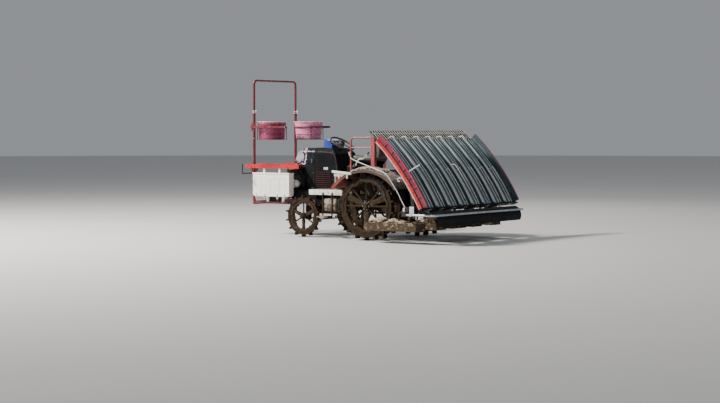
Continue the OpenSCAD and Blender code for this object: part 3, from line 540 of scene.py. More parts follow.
def streak_group():
    """Runs of dirt down an upright face."""
    def build(lay, given):
        drawn = lay.stretched(given["Place"], (1.0, 1.0, 0.07))
        fine = lay.noise(drawn, given["Scale"], 4.0, 0.6)
        patch = lay.noise(given["Place"], 3.0, 2.0, 0.5)
        value = lay.plus(lay.times(fine, 0.7), lay.times(patch, 0.3))
        return {"Mask": lay.times(lay.ramp(value, 0.5, 0.68), given["Amount"], clamp=True)}

    return group("Dirt runs", [("Place", V, None), ("Scale", F, 40.0), ("Amount", F, 0.4)], [("Mask", F)], build)


def grain_group():
    """Fine moulded or cast grain, as a height."""
    def build(lay, given):
        fine = lay.noise(given["Place"], given["Scale"], 3.0, 0.5)
        broad = lay.noise(given["Place"], lay.times(given["Scale"], 0.06), 3.0, 0.5)
        return {"Height": lay.plus(lay.times(fine, 0.35), lay.times(broad, 0.65))}

    return group("Surface grain", [("Place", V, None), ("Scale", F, 300.0)], [("Height", F)], build)


def rgb(colour, gain=1.0):
    """A colour with its alpha, made lighter or darker by a gain."""
    return (*(min(1.0, channel * gain) for channel in colour[:3]), 1.0)


def weathered(name, colour, tone=None, rough=0.5, metal=0.0, coat=0.0, grain=300.0, bump=0.15, chips=0.0,
              chip_scale=45.0,
              under=(0.11, 0.045, 0.02), dust=0.4, dust_colour=(0.5, 0.42, 0.32), mud=0.7, mud_top=None, runs=0.3,
              run_colour=(0.06, 0.045, 0.03), mud_colour=None, mud_pale=(0.3, 0.225, 0.15), pattern=None, crust=None,
              shine=0.5):
    """A finish with tone, chips, dust, dirt runs and mud over a base colour."""
    settings = bpy.context.scene.transplanter_sizes
    colours = bpy.context.scene.transplanter_colours
    material = bpy.data.materials.new(f"{name}_finish")
    material.use_nodes = True
    lay = Layout(material.node_tree)
    where = lay.add("ShaderNodeTexCoord")
    place, facing = where.outputs["Object"], where.outputs["Normal"]

    def grouped(tree, values):
        return lay.add("ShaderNodeGroup", values, node_tree=tree).outputs

    cloud = lay.ramp(lay.noise(place, 4.0, 5.0, 0.6), 0.3, 0.7)
    shade = lay.mix(cloud, rgb(colour), rgb(tone or colour, 1.0 if tone else 0.72))
    height = grouped(grain_group(), {"Place": place, "Scale": grain})["Height"]
    if pattern:
        shade, height = pattern(lay, place, facing, shade, height)
    rough_value = lay.ramp(lay.noise(place, 18.0, 4.0, 0.6), 0.3, 0.7, max(0.05, rough - 0.1), min(1.0, rough + 0.12))
    if runs:
        mask = grouped(streak_group(), {"Place": place, "Scale": 42.0, "Amount": runs})["Mask"]
        shade = lay.mix(mask, shade, rgb(run_colour))
        rough_value = lay.blend(mask, rough_value, 0.75)
    if chips:
        out = grouped(chips_group(), {"Place": place, "Scale": chip_scale, "Amount": chips})
        shade = lay.mix(lay.times(out["Rim"], 0.45), shade, rgb(colour, 1.7))
        shade = lay.mix(out["Mask"], shade, rgb(under))
        rough_value = lay.blend(out["Mask"], rough_value, 0.85)
        height = lay.minus(height, lay.times(out["Mask"], 0.5))
    if dust:
        mask = grouped(dust_group(), {"Place": place, "Facing": facing, "Amount": dust})["Mask"]
        shade = lay.mix(mask, shade, rgb(dust_colour))
        rough_value = lay.blend(mask, rough_value, 0.9)
    if mud:
        out = grouped(
            mud_group(),
            {"Place": place, "Top": mud_top or settings.mud_top, "Cover": mud,
             "Colour": rgb(mud_colour or colours.mud),
             "Pale": rgb(mud_pale)},
        )
        shade = lay.mix(out["Mask"], shade, out["Colour"])
        rough_value = lay.blend(out["Mask"], rough_value, 0.95)
        height = lay.plus(height, lay.times(out["Lumps"], 2.5))
    if crust:
        shade, height = crust(lay, place, facing, shade, height)
    bumped = lay.add("ShaderNodeBump", {"Height": height, "Strength": bump, "Distance": 0.004})
    shader = lay.add(
        "ShaderNodeBsdfPrincipled",
        {"Base Color": shade, "Roughness": rough_value, "Metallic": metal, "Normal": bumped.outputs[0]},
    )
    shader.inputs["Coat Weight"].default_value = coat
    shader.inputs["Coat Roughness"].default_value = 0.12
    shader.inputs["Specular IOR Level"].default_value = shine
    lay.add("ShaderNodeOutputMaterial", {"Surface": shader.outputs[0]})
    return material


def slate_inside(lay, place, facing, shade, height):
    """The side guards' inward faces are coloured a dark slate instead of red."""
    y = lay.part(place, "Y")
    out = lay.part(facing, "Y")
    inward = lay.ramp(lay.times(lay.times(y, out), -1.0), 0.3, 0.8)
    return lay.mix(inward, shade, (0.05, 0.08, 0.09, 1)), height


def fender_crust(lay, place, facing, shade, height):
    """Mud thrown over all of a fender but its front end, with painted shade on its downward faces."""
    x = lay.part(place, "X")
    up = lay.part(facing, "Z")
    patches = lay.times(lay.minus(lay.noise(place, 8.0, 6.0, 0.65), 0.5), 0.5)
    cover = lay.ramp(lay.plus(x, patches), -0.02, -0.16)
    tone = lay.noise(place, 26.0, 5.0, 0.65)
    crust = lay.mix(tone, (0.018, 0.012, 0.009, 1), (0.09, 0.06, 0.04, 1))
    lying = lay.times(lay.ramp(up, 0.45, 0.9), lay.ramp(tone, 0.45, 0.62))
    crust = lay.mix(lying, crust, (0.36, 0.29, 0.21, 1))
    # Painted shade: downward faces under the fender go near black
    under = lay.ramp(up, 0.05, -0.25)
    crust = lay.mix(under, crust, (0.012, 0.009, 0.008, 1))
    return lay.mix(lay.times(cover, 0.94), shade, crust), height


def top_crust(lay, place, facing, shade, height):
    """Paler mud colour on upward faces, darker mud on the sides."""
    up = lay.part(facing, "Z")
    tone = lay.noise(place, 34.0, 6.0, 0.68)
    lying = lay.ramp(lay.plus(up, lay.times(lay.minus(tone, 0.5), 1.4)), 0.1, 0.65)
    pale = lay.mix(lay.ramp(tone, 0.4, 0.66), (0.26, 0.2, 0.14, 1), (0.66, 0.56, 0.42, 1))
    return lay.mix(lay.times(lying, 0.9), shade, pale), lay.plus(height, tone)


def finish_reds():
    """Worn red enamel: bright on shelves and side guards, dark on posts and fenders."""
    colours = bpy.context.scene.transplanter_colours
    weathered("bright_red", colours.bright_red, rgb(colours.bright_red, 0.6), rough=0.34, coat=0.3, chips=0.42,
              dust=0.15, dust_colour=(0.7, 0.25, 0.22), runs=0.25, mud=0.75, mud_top=0.55)
    weathered("guard_red", colours.bright_red, rgb(colours.bright_red, 0.6), rough=0.34, coat=0.3, chips=0.42,
              dust=0.15, dust_colour=(0.7, 0.25, 0.22), runs=0.25, mud=0.6, mud_top=0.5, crust=slate_inside)
    weathered("dark_red", colours.dark_red, rgb(colours.dark_red, 1.9), rough=0.4, coat=0.2, chips=0.5, dust=0.2,
              dust_colour=(0.45, 0.22, 0.2), runs=0.3, mud=0.75, mud_top=0.6)
    # Red with a pale pink tone, partly sun bleach and partly a painted highlight on the sunlit fender strips and guard
    # front lips
    weathered("bleached_and_lit_red", (0.62, 0.1, 0.09), (0.78, 0.36, 0.32), rough=0.45, chips=0.5, chip_scale=70,
              under=(0.7, 0.5, 0.42), dust=0.4, dust_colour=(0.75, 0.5, 0.42), runs=0.3, mud=0.3, mud_top=0.9)
    weathered("guard_post_red", (0.2, 0.016, 0.022), (0.34, 0.05, 0.06), rough=0.42, coat=0.15, chips=0.5, dust=0.2,
              dust_colour=(0.6, 0.36, 0.32), runs=0.35, mud=0.3, mud_top=0.9)
    # Painted shade: the guards' recessed webs and ribs are dark maroon to stand for the shade in the channel
    weathered("shaded_maroon_web", (0.095, 0.008, 0.022), (0.2, 0.012, 0.04), rough=0.38, coat=0.2, chips=0.25, dust=0.1,
              runs=0.3, mud=0.4, mud_top=0.5)
    # Partly painted highlight: the pink of the guards' rear edges stands partly for their sunlit rim on red paint
    weathered("lit_pink_edge", (0.42, 0.02, 0.09), (0.26, 0.01, 0.05), rough=0.35, coat=0.25, chips=0.35, dust=0.2,
              dust_colour=(0.75, 0.32, 0.38), runs=0.15, mud=0.4, mud_top=0.5)
    weathered("louvre_red", (0.065, 0.012, 0.01), (0.03, 0.008, 0.008), rough=0.6, shine=0.15, chips=0.3, dust=0.2,
              dust_colour=(0.3, 0.14, 0.1), runs=0.3, mud=0.4, mud_top=0.9)
    weathered("fender_red", colours.dark_red, (0.42, 0.05, 0.045), rough=0.5, coat=0.1, chips=0.55, dust=0.3,
              dust_colour=(0.3, 0.21, 0.14), runs=0.6, mud=0.7, mud_top=0.9, crust=fender_crust)


def finish_metals():
    """Castings, plated rods and muddy steel; the muddy steel and the caked mud are dark partly as painted shade."""
    weathered("cast_grey", (0.032, 0.034, 0.036), (0.018, 0.018, 0.018), rough=0.62, shine=0.25, metal=0.2, grain=220,
              bump=0.35, chips=0.25, dust=0.3, dust_colour=(0.25, 0.2, 0.15), runs=0.4, mud=0.85,
              mud_colour=(0.075, 0.052, 0.033), mud_pale=(0.17, 0.125, 0.085))
    # Very dark steel and near-black mud, partly painted shade under the fenders and the machine
    weathered("muddy_steel", (0.01, 0.008, 0.007), (0.006, 0.005, 0.004), rough=0.8, shine=0.15, grain=160, bump=0.5,
              chips=0.2, under=(0.03, 0.016, 0.009), dust=0.1, dust_colour=(0.08, 0.056, 0.036), runs=0.4, mud=0.9,
              mud_top=1.1, mud_colour=(0.016, 0.011, 0.008), mud_pale=(0.045, 0.032, 0.021))
    # Near-black caked mud, partly painted shade inside the wheels
    weathered("caked_mud_and_shade", (0.026, 0.019, 0.013), (0.012, 0.009, 0.007), rough=0.9, shine=0.1, grain=90, bump=0.7,
              dust=0.25, dust_colour=(0.1, 0.074, 0.05), runs=0.0, mud=1.0, mud_top=1.4,
              mud_colour=(0.024, 0.017, 0.012), mud_pale=(0.085, 0.064, 0.043))
    weathered("float_mud", (0.03, 0.022, 0.015), (0.016, 0.012, 0.008), rough=0.9, shine=0.15, grain=120, bump=0.7,
              dust=0.2, dust_colour=(0.2, 0.15, 0.1), runs=0.4, mud=1.0, mud_top=1.2,
              mud_colour=(0.085, 0.063, 0.043), mud_pale=(0.36, 0.29, 0.2), crust=top_crust)
    weathered("bare_steel", (0.5, 0.52, 0.54), (0.36, 0.37, 0.38), rough=0.34, metal=0.9, grain=500, bump=0.08,
              chips=0.22, dust=0.3, runs=0.2, mud=0.6, mud_top=0.45)
    weathered("zinc", (0.56, 0.6, 0.64), (0.4, 0.44, 0.48), rough=0.42, metal=0.75, grain=420, bump=0.1, chips=0.18,
              dust=0.2, runs=0.15, mud=0.5, mud_top=0.42)
    weathered("white_rod", (0.78, 0.78, 0.74), (0.6, 0.6, 0.56), rough=0.45, metal=0.1, grain=420, bump=0.1,
              chips=0.3, dust=0.2, runs=0.2, mud=0.3, mud_top=0.4)
    weathered("engine_grey", (0.045, 0.046, 0.05), (0.025, 0.024, 0.024), rough=0.5, metal=0.4, grain=200, bump=0.4,
              chips=0.2, dust=0.4, runs=0.5, mud=0.5)
    weathered("bolt_steel", (0.3, 0.3, 0.3), (0.2, 0.17, 0.14), rough=0.42, metal=0.85, grain=600, bump=0.1,
              chips=0.5, chip_scale=120, dust=0.3, runs=0.0, mud=0.8)


def finish_rubbers():
    """Muddy lugs, their mud dark partly as painted shade, mats and grips."""
    # Near-black rubber and mud, partly painted shade on the tyres under the fenders
    weathered("mud_rubber", (0.006, 0.005, 0.005), (0.01, 0.008, 0.007), rough=0.88, shine=0.12, grain=240, bump=0.6,
              dust=0.12, dust_colour=(0.06, 0.042, 0.028), runs=0.2, mud=0.8, mud_top=1.15,
              mud_colour=(0.015, 0.0105, 0.0075), mud_pale=(0.042, 0.03, 0.02))
    weathered("mat_rubber", (0.02, 0.02, 0.021), (0.04, 0.038, 0.035), rough=0.8, grain=380, bump=0.3, dust=0.8,
              dust_colour=(0.3, 0.24, 0.17), runs=0.0, mud=0.6, mud_top=0.9)
    weathered("grip_black", (0.014, 0.014, 0.016), (0.03, 0.03, 0.03), rough=0.55, grain=500, bump=0.2, dust=0.35,
              runs=0.0, mud=0.0)


def tray_lines(lay, place, facing, shade, height):
    """Faint scuffs across a white moulding."""
    scuffs = lay.ramp(lay.noise(lay.stretched(place, (2.0, 2.0, 30.0)), 3.0, 6.0, 0.7), 0.6, 0.7)
    return lay.mix(lay.times(scuffs, 0.35), shade, (0.5, 0.46, 0.4, 1)), height


def rim_highlight(lay, place, facing, shade, height):
    """A painted highlight: paler towards a tub's rim."""
    z = lay.part(place, "Z")
    # Painted highlight in the band just below the rim
    rim = lay.ramp(z, TUB_TOP - 0.04, TUB_TOP - 0.002)
    return lay.mix(lay.times(rim, 0.75), shade, (0.85, 0.5, 0.6, 1)), height


def hood_sheen(lay, place, facing, shade, height):
    """Painted sheen and highlights: blue streaks, a pale painted highlight patch on the front left shoulder and a
    pink-white highlight line round it.
    """
    # Blue streaks painted as sheen on the gloss
    drawn = lay.stretched(place, (1.2, 9.0, 9.0))
    streak = lay.ramp(lay.noise(drawn, 2.2, 5.0, 0.6), 0.5, 0.72)
    shade = lay.mix(lay.times(streak, 0.3), shade, (0.008, 0.018, 0.06, 1))
    away = lay.add(
        "ShaderNodeVectorMath", {0: place, 1: (HOOD_HIGH.x - 0.1, 0.2, HOOD_HIGH.z - 0.12)}, operation="DISTANCE"
    ).outputs["Value"]
    edge = lay.plus(away, lay.times(lay.noise(place, 16.0, 6.0, 0.7), 0.16))
    # A pale patch painted as the sun's highlight on the front left shoulder
    patch = lay.ramp(edge, 0.2, 0.16)
    shade = lay.mix(lay.times(patch, 0.8), shade, (0.5, 0.47, 0.55, 1))
    # A pink-white line painted as a highlight round the patch
    bow = lay.ramp(lay.math("ABSOLUTE", lay.minus(edge, 0.225)), 0.014, 0.006)
    return lay.mix(lay.times(bow, 0.8), shade, (0.8, 0.55, 0.6, 1)), height


def lane_shine(lay, place, facing, shade, height):
    """Painted sheen: lighter lengthwise streaks along the lanes of the table."""
    drawn = lay.stretched(place, (1.0, 26.0, 1.0))
    # The lighter streaks are painted sheen on the lanes
    wear = lay.ramp(lay.noise(drawn, 2.0, 5.0, 0.65), 0.45, 0.7)
    return lay.mix(lay.times(wear, 0.6), shade, (0.15, 0.2, 0.21, 1)), height


def finish_plastics():
    """Mouldings: steps, trays, cowl, bonnet, tubs, lanes."""
    colours = bpy.context.scene.transplanter_colours
    weathered("pale_plastic", (0.62, 0.6, 0.54), (0.46, 0.42, 0.36), rough=0.5, chips=0.3, chip_scale=22,
              under=(0.13, 0.11, 0.085), dust=0.5, dust_colour=(0.42, 0.34, 0.25), runs=0.6, mud=0.6, mud_top=0.75)
    weathered("step_white", (0.8, 0.79, 0.75), (0.66, 0.64, 0.59), rough=0.45, chips=0.5, chip_scale=14,
              under=(0.06, 0.055, 0.05), dust=0.3, dust_colour=(0.42, 0.36, 0.28), runs=0.6,
              run_colour=(0.05, 0.045, 0.04), mud=0.35, mud_top=0.7)
    weathered("grimy_box", (0.34, 0.31, 0.27), (0.22, 0.19, 0.155), rough=0.75, chips=0.35, chip_scale=20,
              under=(0.04, 0.034, 0.026), dust=0.4, dust_colour=(0.42, 0.35, 0.26), runs=0.8,
              run_colour=(0.03, 0.024, 0.018), mud=0.75, mud_top=0.8, mud_colour=(0.1, 0.075, 0.05),
              mud_pale=(0.36, 0.3, 0.22))
    weathered("step_tan", (0.5, 0.34, 0.28), (0.32, 0.22, 0.17), rough=0.7, chips=0.4, dust=0.6,
              dust_colour=(0.5, 0.4, 0.31), runs=0.3, mud=0.7, mud_top=0.5)
    weathered("white_plastic", (0.93, 0.92, 0.88), (0.85, 0.83, 0.78), rough=0.42, chips=0.1, dust=0.15, runs=0.22,
              run_colour=(0.35, 0.3, 0.24), mud=0.35, mud_top=0.9, pattern=tray_lines)
    weathered("navy_gloss", colours.navy, (0.003, 0.005, 0.012), rough=0.24, shine=0.3, coat=0.25, grain=90,
              bump=0.05, chips=0.12, dust=0.12, dust_colour=(0.2, 0.2, 0.24), runs=0.12, mud=0.2, mud_top=0.95,
              pattern=hood_sheen)
    weathered("charcoal_plastic", (0.005, 0.006, 0.009), (0.01, 0.01, 0.012), rough=0.62, shine=0.06, grain=420,
              bump=0.2, dust=0.12, dust_colour=(0.12, 0.1, 0.08), runs=0.25, run_colour=(0.022, 0.016, 0.012),
              mud=0.4, mud_top=0.8, mud_colour=(0.035, 0.026, 0.018), mud_pale=(0.1, 0.075, 0.052))
    weathered("blue_plastic", (0.015, 0.06, 0.42), (0.01, 0.035, 0.26), rough=0.28, coat=0.3, dust=0.2, runs=0.1,
              mud=0.0)
    weathered("magenta_tub", colours.pink, rgb(colours.pink, 0.7), rough=0.3, coat=0.15, grain=60, bump=0.08,
              dust=0.25, dust_colour=(0.85, 0.6, 0.62), runs=0.2, mud=0.0, pattern=rim_highlight)
    weathered("pink_tub", colours.pale_pink, rgb(colours.pale_pink, 0.8), rough=0.32, coat=0.15, grain=60, bump=0.08,
              dust=0.2, dust_colour=(0.9, 0.6, 0.66), runs=0.2, mud=0.0, pattern=rim_highlight)
    weathered("slate_plastic", colours.slate, rgb(colours.slate, 1.5), rough=0.36, shine=0.3, coat=0.08, grain=200,
              bump=0.08, dust=0.1, dust_colour=(0.3, 0.33, 0.33), runs=0.2, mud=0.3, mud_top=0.55, pattern=lane_shine)
    # The ribs' light grey is partly a painted highlight of their sunlit edges on the slate table
    weathered("lit_lane_rib_grey", (0.72, 0.76, 0.77), (0.46, 0.52, 0.55), rough=0.34, coat=0.1, grain=240, bump=0.08,
              chips=0.4, chip_scale=30, under=(0.05, 0.07, 0.08), dust=0.2, runs=0.3, mud=0.3, mud_top=0.55)
    weathered("sheet_grey", (0.09, 0.11, 0.1), (0.055, 0.07, 0.062), rough=0.45, metal=0.3, grain=300, bump=0.1,
              chips=0.2, under=(0.3, 0.3, 0.28), dust=0.2, runs=0.4, mud=0.0)
    # The divider caps' light grey stands partly for the lit sides of the dividers, as a painted highlight
    weathered("ridge_grey", (0.62, 0.66, 0.68), (0.46, 0.5, 0.53), rough=0.38, grain=260, bump=0.1, chips=0.3,
              under=(0.2, 0.22, 0.23), dust=0.3, runs=0.2, mud=0.35, mud_top=0.62)
    # Near-black plastic; the rear apron that wears it is partly a dark sheet standing for the shade behind the rotors
    weathered("black_plastic", (0.003, 0.004, 0.006), (0.006, 0.007, 0.01), rough=0.45, shine=0.08, coat=0.0,
              grain=260, bump=0.1, dust=0.1, dust_colour=(0.1, 0.1, 0.1), runs=0.3, run_colour=(0.02, 0.018, 0.018),
              mud=0.3, mud_top=0.4, mud_colour=(0.03, 0.024, 0.018), mud_pale=(0.08, 0.064, 0.05))
    weathered("lamp_white", (0.84, 0.83, 0.8), (0.7, 0.68, 0.65), rough=0.35, coat=0.2, dust=0.15, runs=0.1, mud=0.0)


def finish_lamp_glass():
    """Clear ribbed lamp glass over a bright reflector."""
    material = bpy.data.materials.new("lamp_glass_finish")
    material.use_nodes = True
    lay = Layout(material.node_tree)
    where = lay.add("ShaderNodeTexCoord").outputs["Object"]
    ribs = lay.add("ShaderNodeTexWave", {"Vector": where, "Scale": 26.0, "Distortion": 0.3}, bands_direction="Y")
    dirt = lay.ramp(lay.noise(where, 30.0, 5.0, 0.6), 0.5, 0.75)
    bumped = lay.add("ShaderNodeBump", {"Height": ribs.outputs["Fac"], "Strength": 0.4, "Distance": 0.003})
    tint = lay.mix(dirt, (0.86, 0.88, 0.88, 1), (0.5, 0.46, 0.38, 1))
    shader = lay.add(
        "ShaderNodeBsdfPrincipled",
        {"Base Color": tint, "Roughness": lay.ramp(dirt, 0.0, 1.0, 0.06, 0.5), "Normal": bumped.outputs[0]},
    )
    shader.inputs["Coat Weight"].default_value = 0.8
    lay.add("ShaderNodeOutputMaterial", {"Surface": shader.outputs[0]})


def vinyl_creases(lay, place, facing, shade, height):
    """Creases and leather grain on the seat's vinyl."""
    cells = lay.add("ShaderNodeTexVoronoi", {"Vector": place, "Scale": 420.0}, feature="DISTANCE_TO_EDGE")
    grain = lay.ramp(cells.outputs["Distance"], 0.0, 0.12)
    crease = lay.ramp(lay.noise(lay.stretched(place, (3.0, 1.0, 1.0)), 9.0, 5.0, 0.7), 0.62, 0.7)
    shade = lay.mix(lay.times(crease, 0.5), shade, (0.1, 0.095, 0.09, 1))
    height = lay.plus(lay.times(grain, 0.8), height)
    return shade, height


def finish_vinyl():
    """Black vinyl with leather grain."""
    weathered("seat_vinyl", (0.018, 0.018, 0.02), (0.032, 0.031, 0.031), rough=0.42, grain=500, bump=0.25, dust=0.5,
              dust_colour=(0.3, 0.25, 0.2), runs=0.0, mud=0.0, pattern=vinyl_creases)


# Which CAD nodes wear each finish
NODES_BY_FINISH = {
    "cast_grey": ("chassis_frame", "transmission_case", "marker_rods", "hitch_bracket", "tie_rod", "lift_links",
        "top_link", "lift_barrel", "planter_frame", "drive_cases", "table_supports", "planting_rotors"),
    "engine_grey": ("engine_block",),
    "muddy_steel": ("front_axle_housing", "rear_axle_housing", "foot_steps", "knuckle_left", "knuckle_right",
        "front_wheel_left", "front_wheel_right", "rear_wheel_left", "rear_wheel_right"),
    "step_white": ("step_floor",),
    "pale_plastic": ("operator_deck",),
    "fender_red": ("rear_fenders",),
    "grimy_box": ("side_boxes",),
    "charcoal_plastic": ("seat_base", "dash_cowl", "control_levers", "nose_covers"),
    "seat_vinyl": ("seat_cushion", "seat_back"),
    "blue_plastic": ("instrument_pod",),
    "guard_post_red": ("guard_rails",),
    "lamp_white": ("headlamps",),
    "dark_red": ("rack_posts", "rack_rails", "post_hoop"),
    "bright_red": ("rack_shelves",),
    "magenta_tub": ("tub_left",),
    "pink_tub": ("tub_right",),
    "white_plastic": ("side_trays",),
    "navy_gloss": ("hood",),
    "grip_black": ("steering_wheel",),
    "bare_steel": ("lift_rod",),
    # The rear apron stands partly for painted shade behind the planting rotors
    "black_plastic": ("guide_rail", "rear_apron"),
    "zinc": ("rear_guard",),
    "float_mud": ("floats",),
    "slate_plastic": ("seedling_table",),
    "sheet_grey": ("table_extension",),
    "guard_red": ("side_guards",),
    "white_rod": ("press_rods",),
    "mud_rubber": ("front_tyre_left", "front_tyre_right", "rear_tyre_left", "rear_tyre_right"),
}


class TRANSPLANTER_OT_finishes(bpy.types.Operator):
    """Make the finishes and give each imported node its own"""

    bl_idname = "transplanter.finishes"
    bl_label = "Finishes"

    def execute(self, context):
        finish_reds()
        finish_metals()
        finish_rubbers()
        finish_plastics()
        finish_lamp_glass()
        finish_vinyl()
        for finish, nodes in NODES_BY_FINISH.items():
            for node in nodes:
                NODES[node].data.materials.clear()
                NODES[node].data.materials.append(bpy.data.materials[f"{finish}_finish"])
        return {"FINISHED"}


def padded_block(name, low, high, crown, cap=0.012):
    """A stuffed pad between two corners, swelled by a cloth simulation by no more than cap."""
    pad = plain_block(name, low, high)
    bpy.ops.object.mode_set(mode="EDIT")
    bpy.ops.mesh.select_all(action="SELECT")
    bpy.ops.mesh.bevel(offset=crown, segments=4, affect="EDGES")
    bpy.ops.object.mode_set(mode="OBJECT")
    pad.data.remesh_voxel_size = 0.007
    bpy.ops.object.voxel_remesh()
    rest = [vertex.co.copy() for vertex in pad.data.vertices]
    cloth = pad.modifiers.new("swell", "CLOTH")
    cloth.settings.use_pressure = True
    cloth.settings.uniform_pressure_force = 4.0
    cloth.settings.effector_weights.gravity = 0.0
    cloth.point_cache.frame_start, cloth.point_cache.frame_end = 1, 20
    scene = bpy.context.scene
    for step in range(1, 21):
        scene.frame_set(step)
    only(pad)
    bpy.ops.object.modifier_apply(modifier="swell")
    scene.frame_set(1)
    for vertex, was in zip(pad.data.vertices, rest):
        moved = vertex.co - was
        if moved.length > cap:
            vertex.co = was + moved.normalized() * cap
    bpy.ops.object.shade_smooth()
    return pad


class TRANSPLANTER_OT_seat(bpy.types.Operator):
    """Pad the seat cushion and its back"""

    bl_idname = "transplanter.seat"
    bl_label = "Seat"

    def execute(self, context):
        low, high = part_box("seat_cushion")
        pad_low, pad_high = low + Vector((0.014, 0.016, 0.004)), high - Vector((0.014, 0.016, 0.012))
        pad = padded_block("seat_pad", pad_low, pad_high, 0.028)
        dish_depth, side_height = 0.018, 0.04
        for vertex in pad.data.vertices:
            back = (high.x - vertex.co.x) / (high.x - low.x)
            side = abs(vertex.co.y) / high.y
            if vertex.co.z > low.z + side_height:
                vertex.co.z -= dish_depth * (1 - side ** 2) * math.sin(math.pi * min(1.0, max(0.0, back)))
        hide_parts("seat_cushion")
        dress(pad, "seat_vinyl", "chassis")
        low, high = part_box("seat_back")
        lean = (high.x - low.x - 0.07) / (high.z - low.z)
        back = padded_block("seat_back_pad", (0, low.y + 0.014, low.z + 0.012),
                            (0.066, high.y - 0.014, high.z - 0.012), 0.026)
        for vertex in back.data.vertices:
            vertex.co.x += low.x + 0.002 + lean * (high.z - vertex.co.z)
        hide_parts("seat_back")
        dress(back, "seat_vinyl", "chassis")
        return {"FINISHED"}


class TRANSPLANTER_OT_lanes(bpy.types.Operator):
    """Ribs, divider caps and fittings along the table's lanes"""

    bl_idname = "transplanter.lanes"
    bl_label = "Table lanes"

    def execute(self, context):
        a0, a1 = TABLE_A1 + 0.002, TABLE_A2 - 0.006
        half, foot, top = context.scene.transplanter_sizes.rib / 2, TABLE_R - 0.002, TABLE_R + 0.006
        rib = table_strip("rib", [(foot, -half), (top, -half + 0.004), (top, half - 0.004), (foot, half)], a0, a1, 14)
        ribs = spread("lane_ribs", rib, [(0, y, 0) for y in lane_ys(-0.105, -0.042, 0.042, 0.105)])
        # The ribs' light grey stands partly for painted highlights
        dress(ribs, "lit_lane_rib_grey", "table")
        half, foot = 0.018, TABLE_R + RIDGE + 0.0005
        low, top = foot - 0.006, foot + 0.007
        section = [(low, -half), (foot, -half), (top, -0.4 * half), (top, 0.4 * half), (foot, half), (low, half)]
        caps = spread("divider_caps", table_strip("cap", section, a0, a1, 20), [(0, y, 0) for y in DIVIDER_YS])
        # The caps' light grey is partly a painted highlight of the dividers
        dress(caps, "ridge_grey", "table")
        return {"FINISHED"}


class TRANSPLANTER_OT_bonnet(bpy.types.Operator):
    """Side panels, nose grille, seam bead, latches and screws of the bonnet"""

    bl_idname = "transplanter.bonnet"
    bl_label = "Bonnet"

    def execute(self, context):
        wear = ("charcoal_plastic", "bonnet", "charcoal_plastic")
        side_y = HOOD_HIGH.y
        x0, x1 = HOOD_LOW.x + 0.02, HOOD_HIGH.x - 0.035
        z0, z1 = HOOD_LOW.z + 0.015, HOOD_LOW.z + 0.36
        outline = [(x, side_y, z) for x, z in ((x0, z0), (x1, z0), (x1, z1 - 0.1), (x1 - 0.03, z1), (x0, z1))]
        both("bonnet_side_panels", [plate("panel", outline, (0, 0.004, 0))], *wear)
        nose_x, half = HOOD_HIGH.x - 0.005, 0.17
        low, top = HOOD_LOW.z + 0.045, HOOD_LOW.z + 0.245
        wire = bar("wire", (nose_x + 0.001, -0.152, low), (nose_x + 0.001, -0.152, top), 0.0018, 6)
        dress(row_of(wire, 20, (0, 0.016, 0), "nose_mesh"), "bolt_steel", "bonnet")
        corners = ((-half, low), (half, low), (half, top), (-half, top), (-half, low))
        border = tube("nose_border", [(nose_x + 0.004, y, z) for y, z in corners], 0.006, 2)
        dress(border, "cast_grey", "bonnet")
        y, z = side_y + 0.001, HOOD_HIGH.z
        bend = ((y, HOOD_LOW.z + 0.01), (y, z - 0.1), (y - 0.012, z - 0.046), (y - 0.05, z - 0.012),
                (y - 0.1, z + 0.0005), (0, z + 0.0005))
        both("bonnet_bead", [tube("bead", [(HOOD_LOW.x + 0.004, y, z) for y, z in bend], 0.004)],
             "mat_rubber", "bonnet", "charcoal_plastic")
        latch = block("latch", (x0, side_y + 0.004, z1 + 0.02), (x0 + 0.03, side_y + 0.018, z1 + 0.08), 0.004)
        both("bonnet_latches", [latch], "mat_rubber", "bonnet", "charcoal_plastic")
        spots = [(x, side_y + 0.004, z) for x in (x0 + 0.012, x1 - 0.012) for z in (z0 + 0.012, z1 - 0.12)]
        dress(bolts("bonnet_screws", outward(spots), 0.006), "bolt_steel", "bonnet")
        return {"FINISHED"}


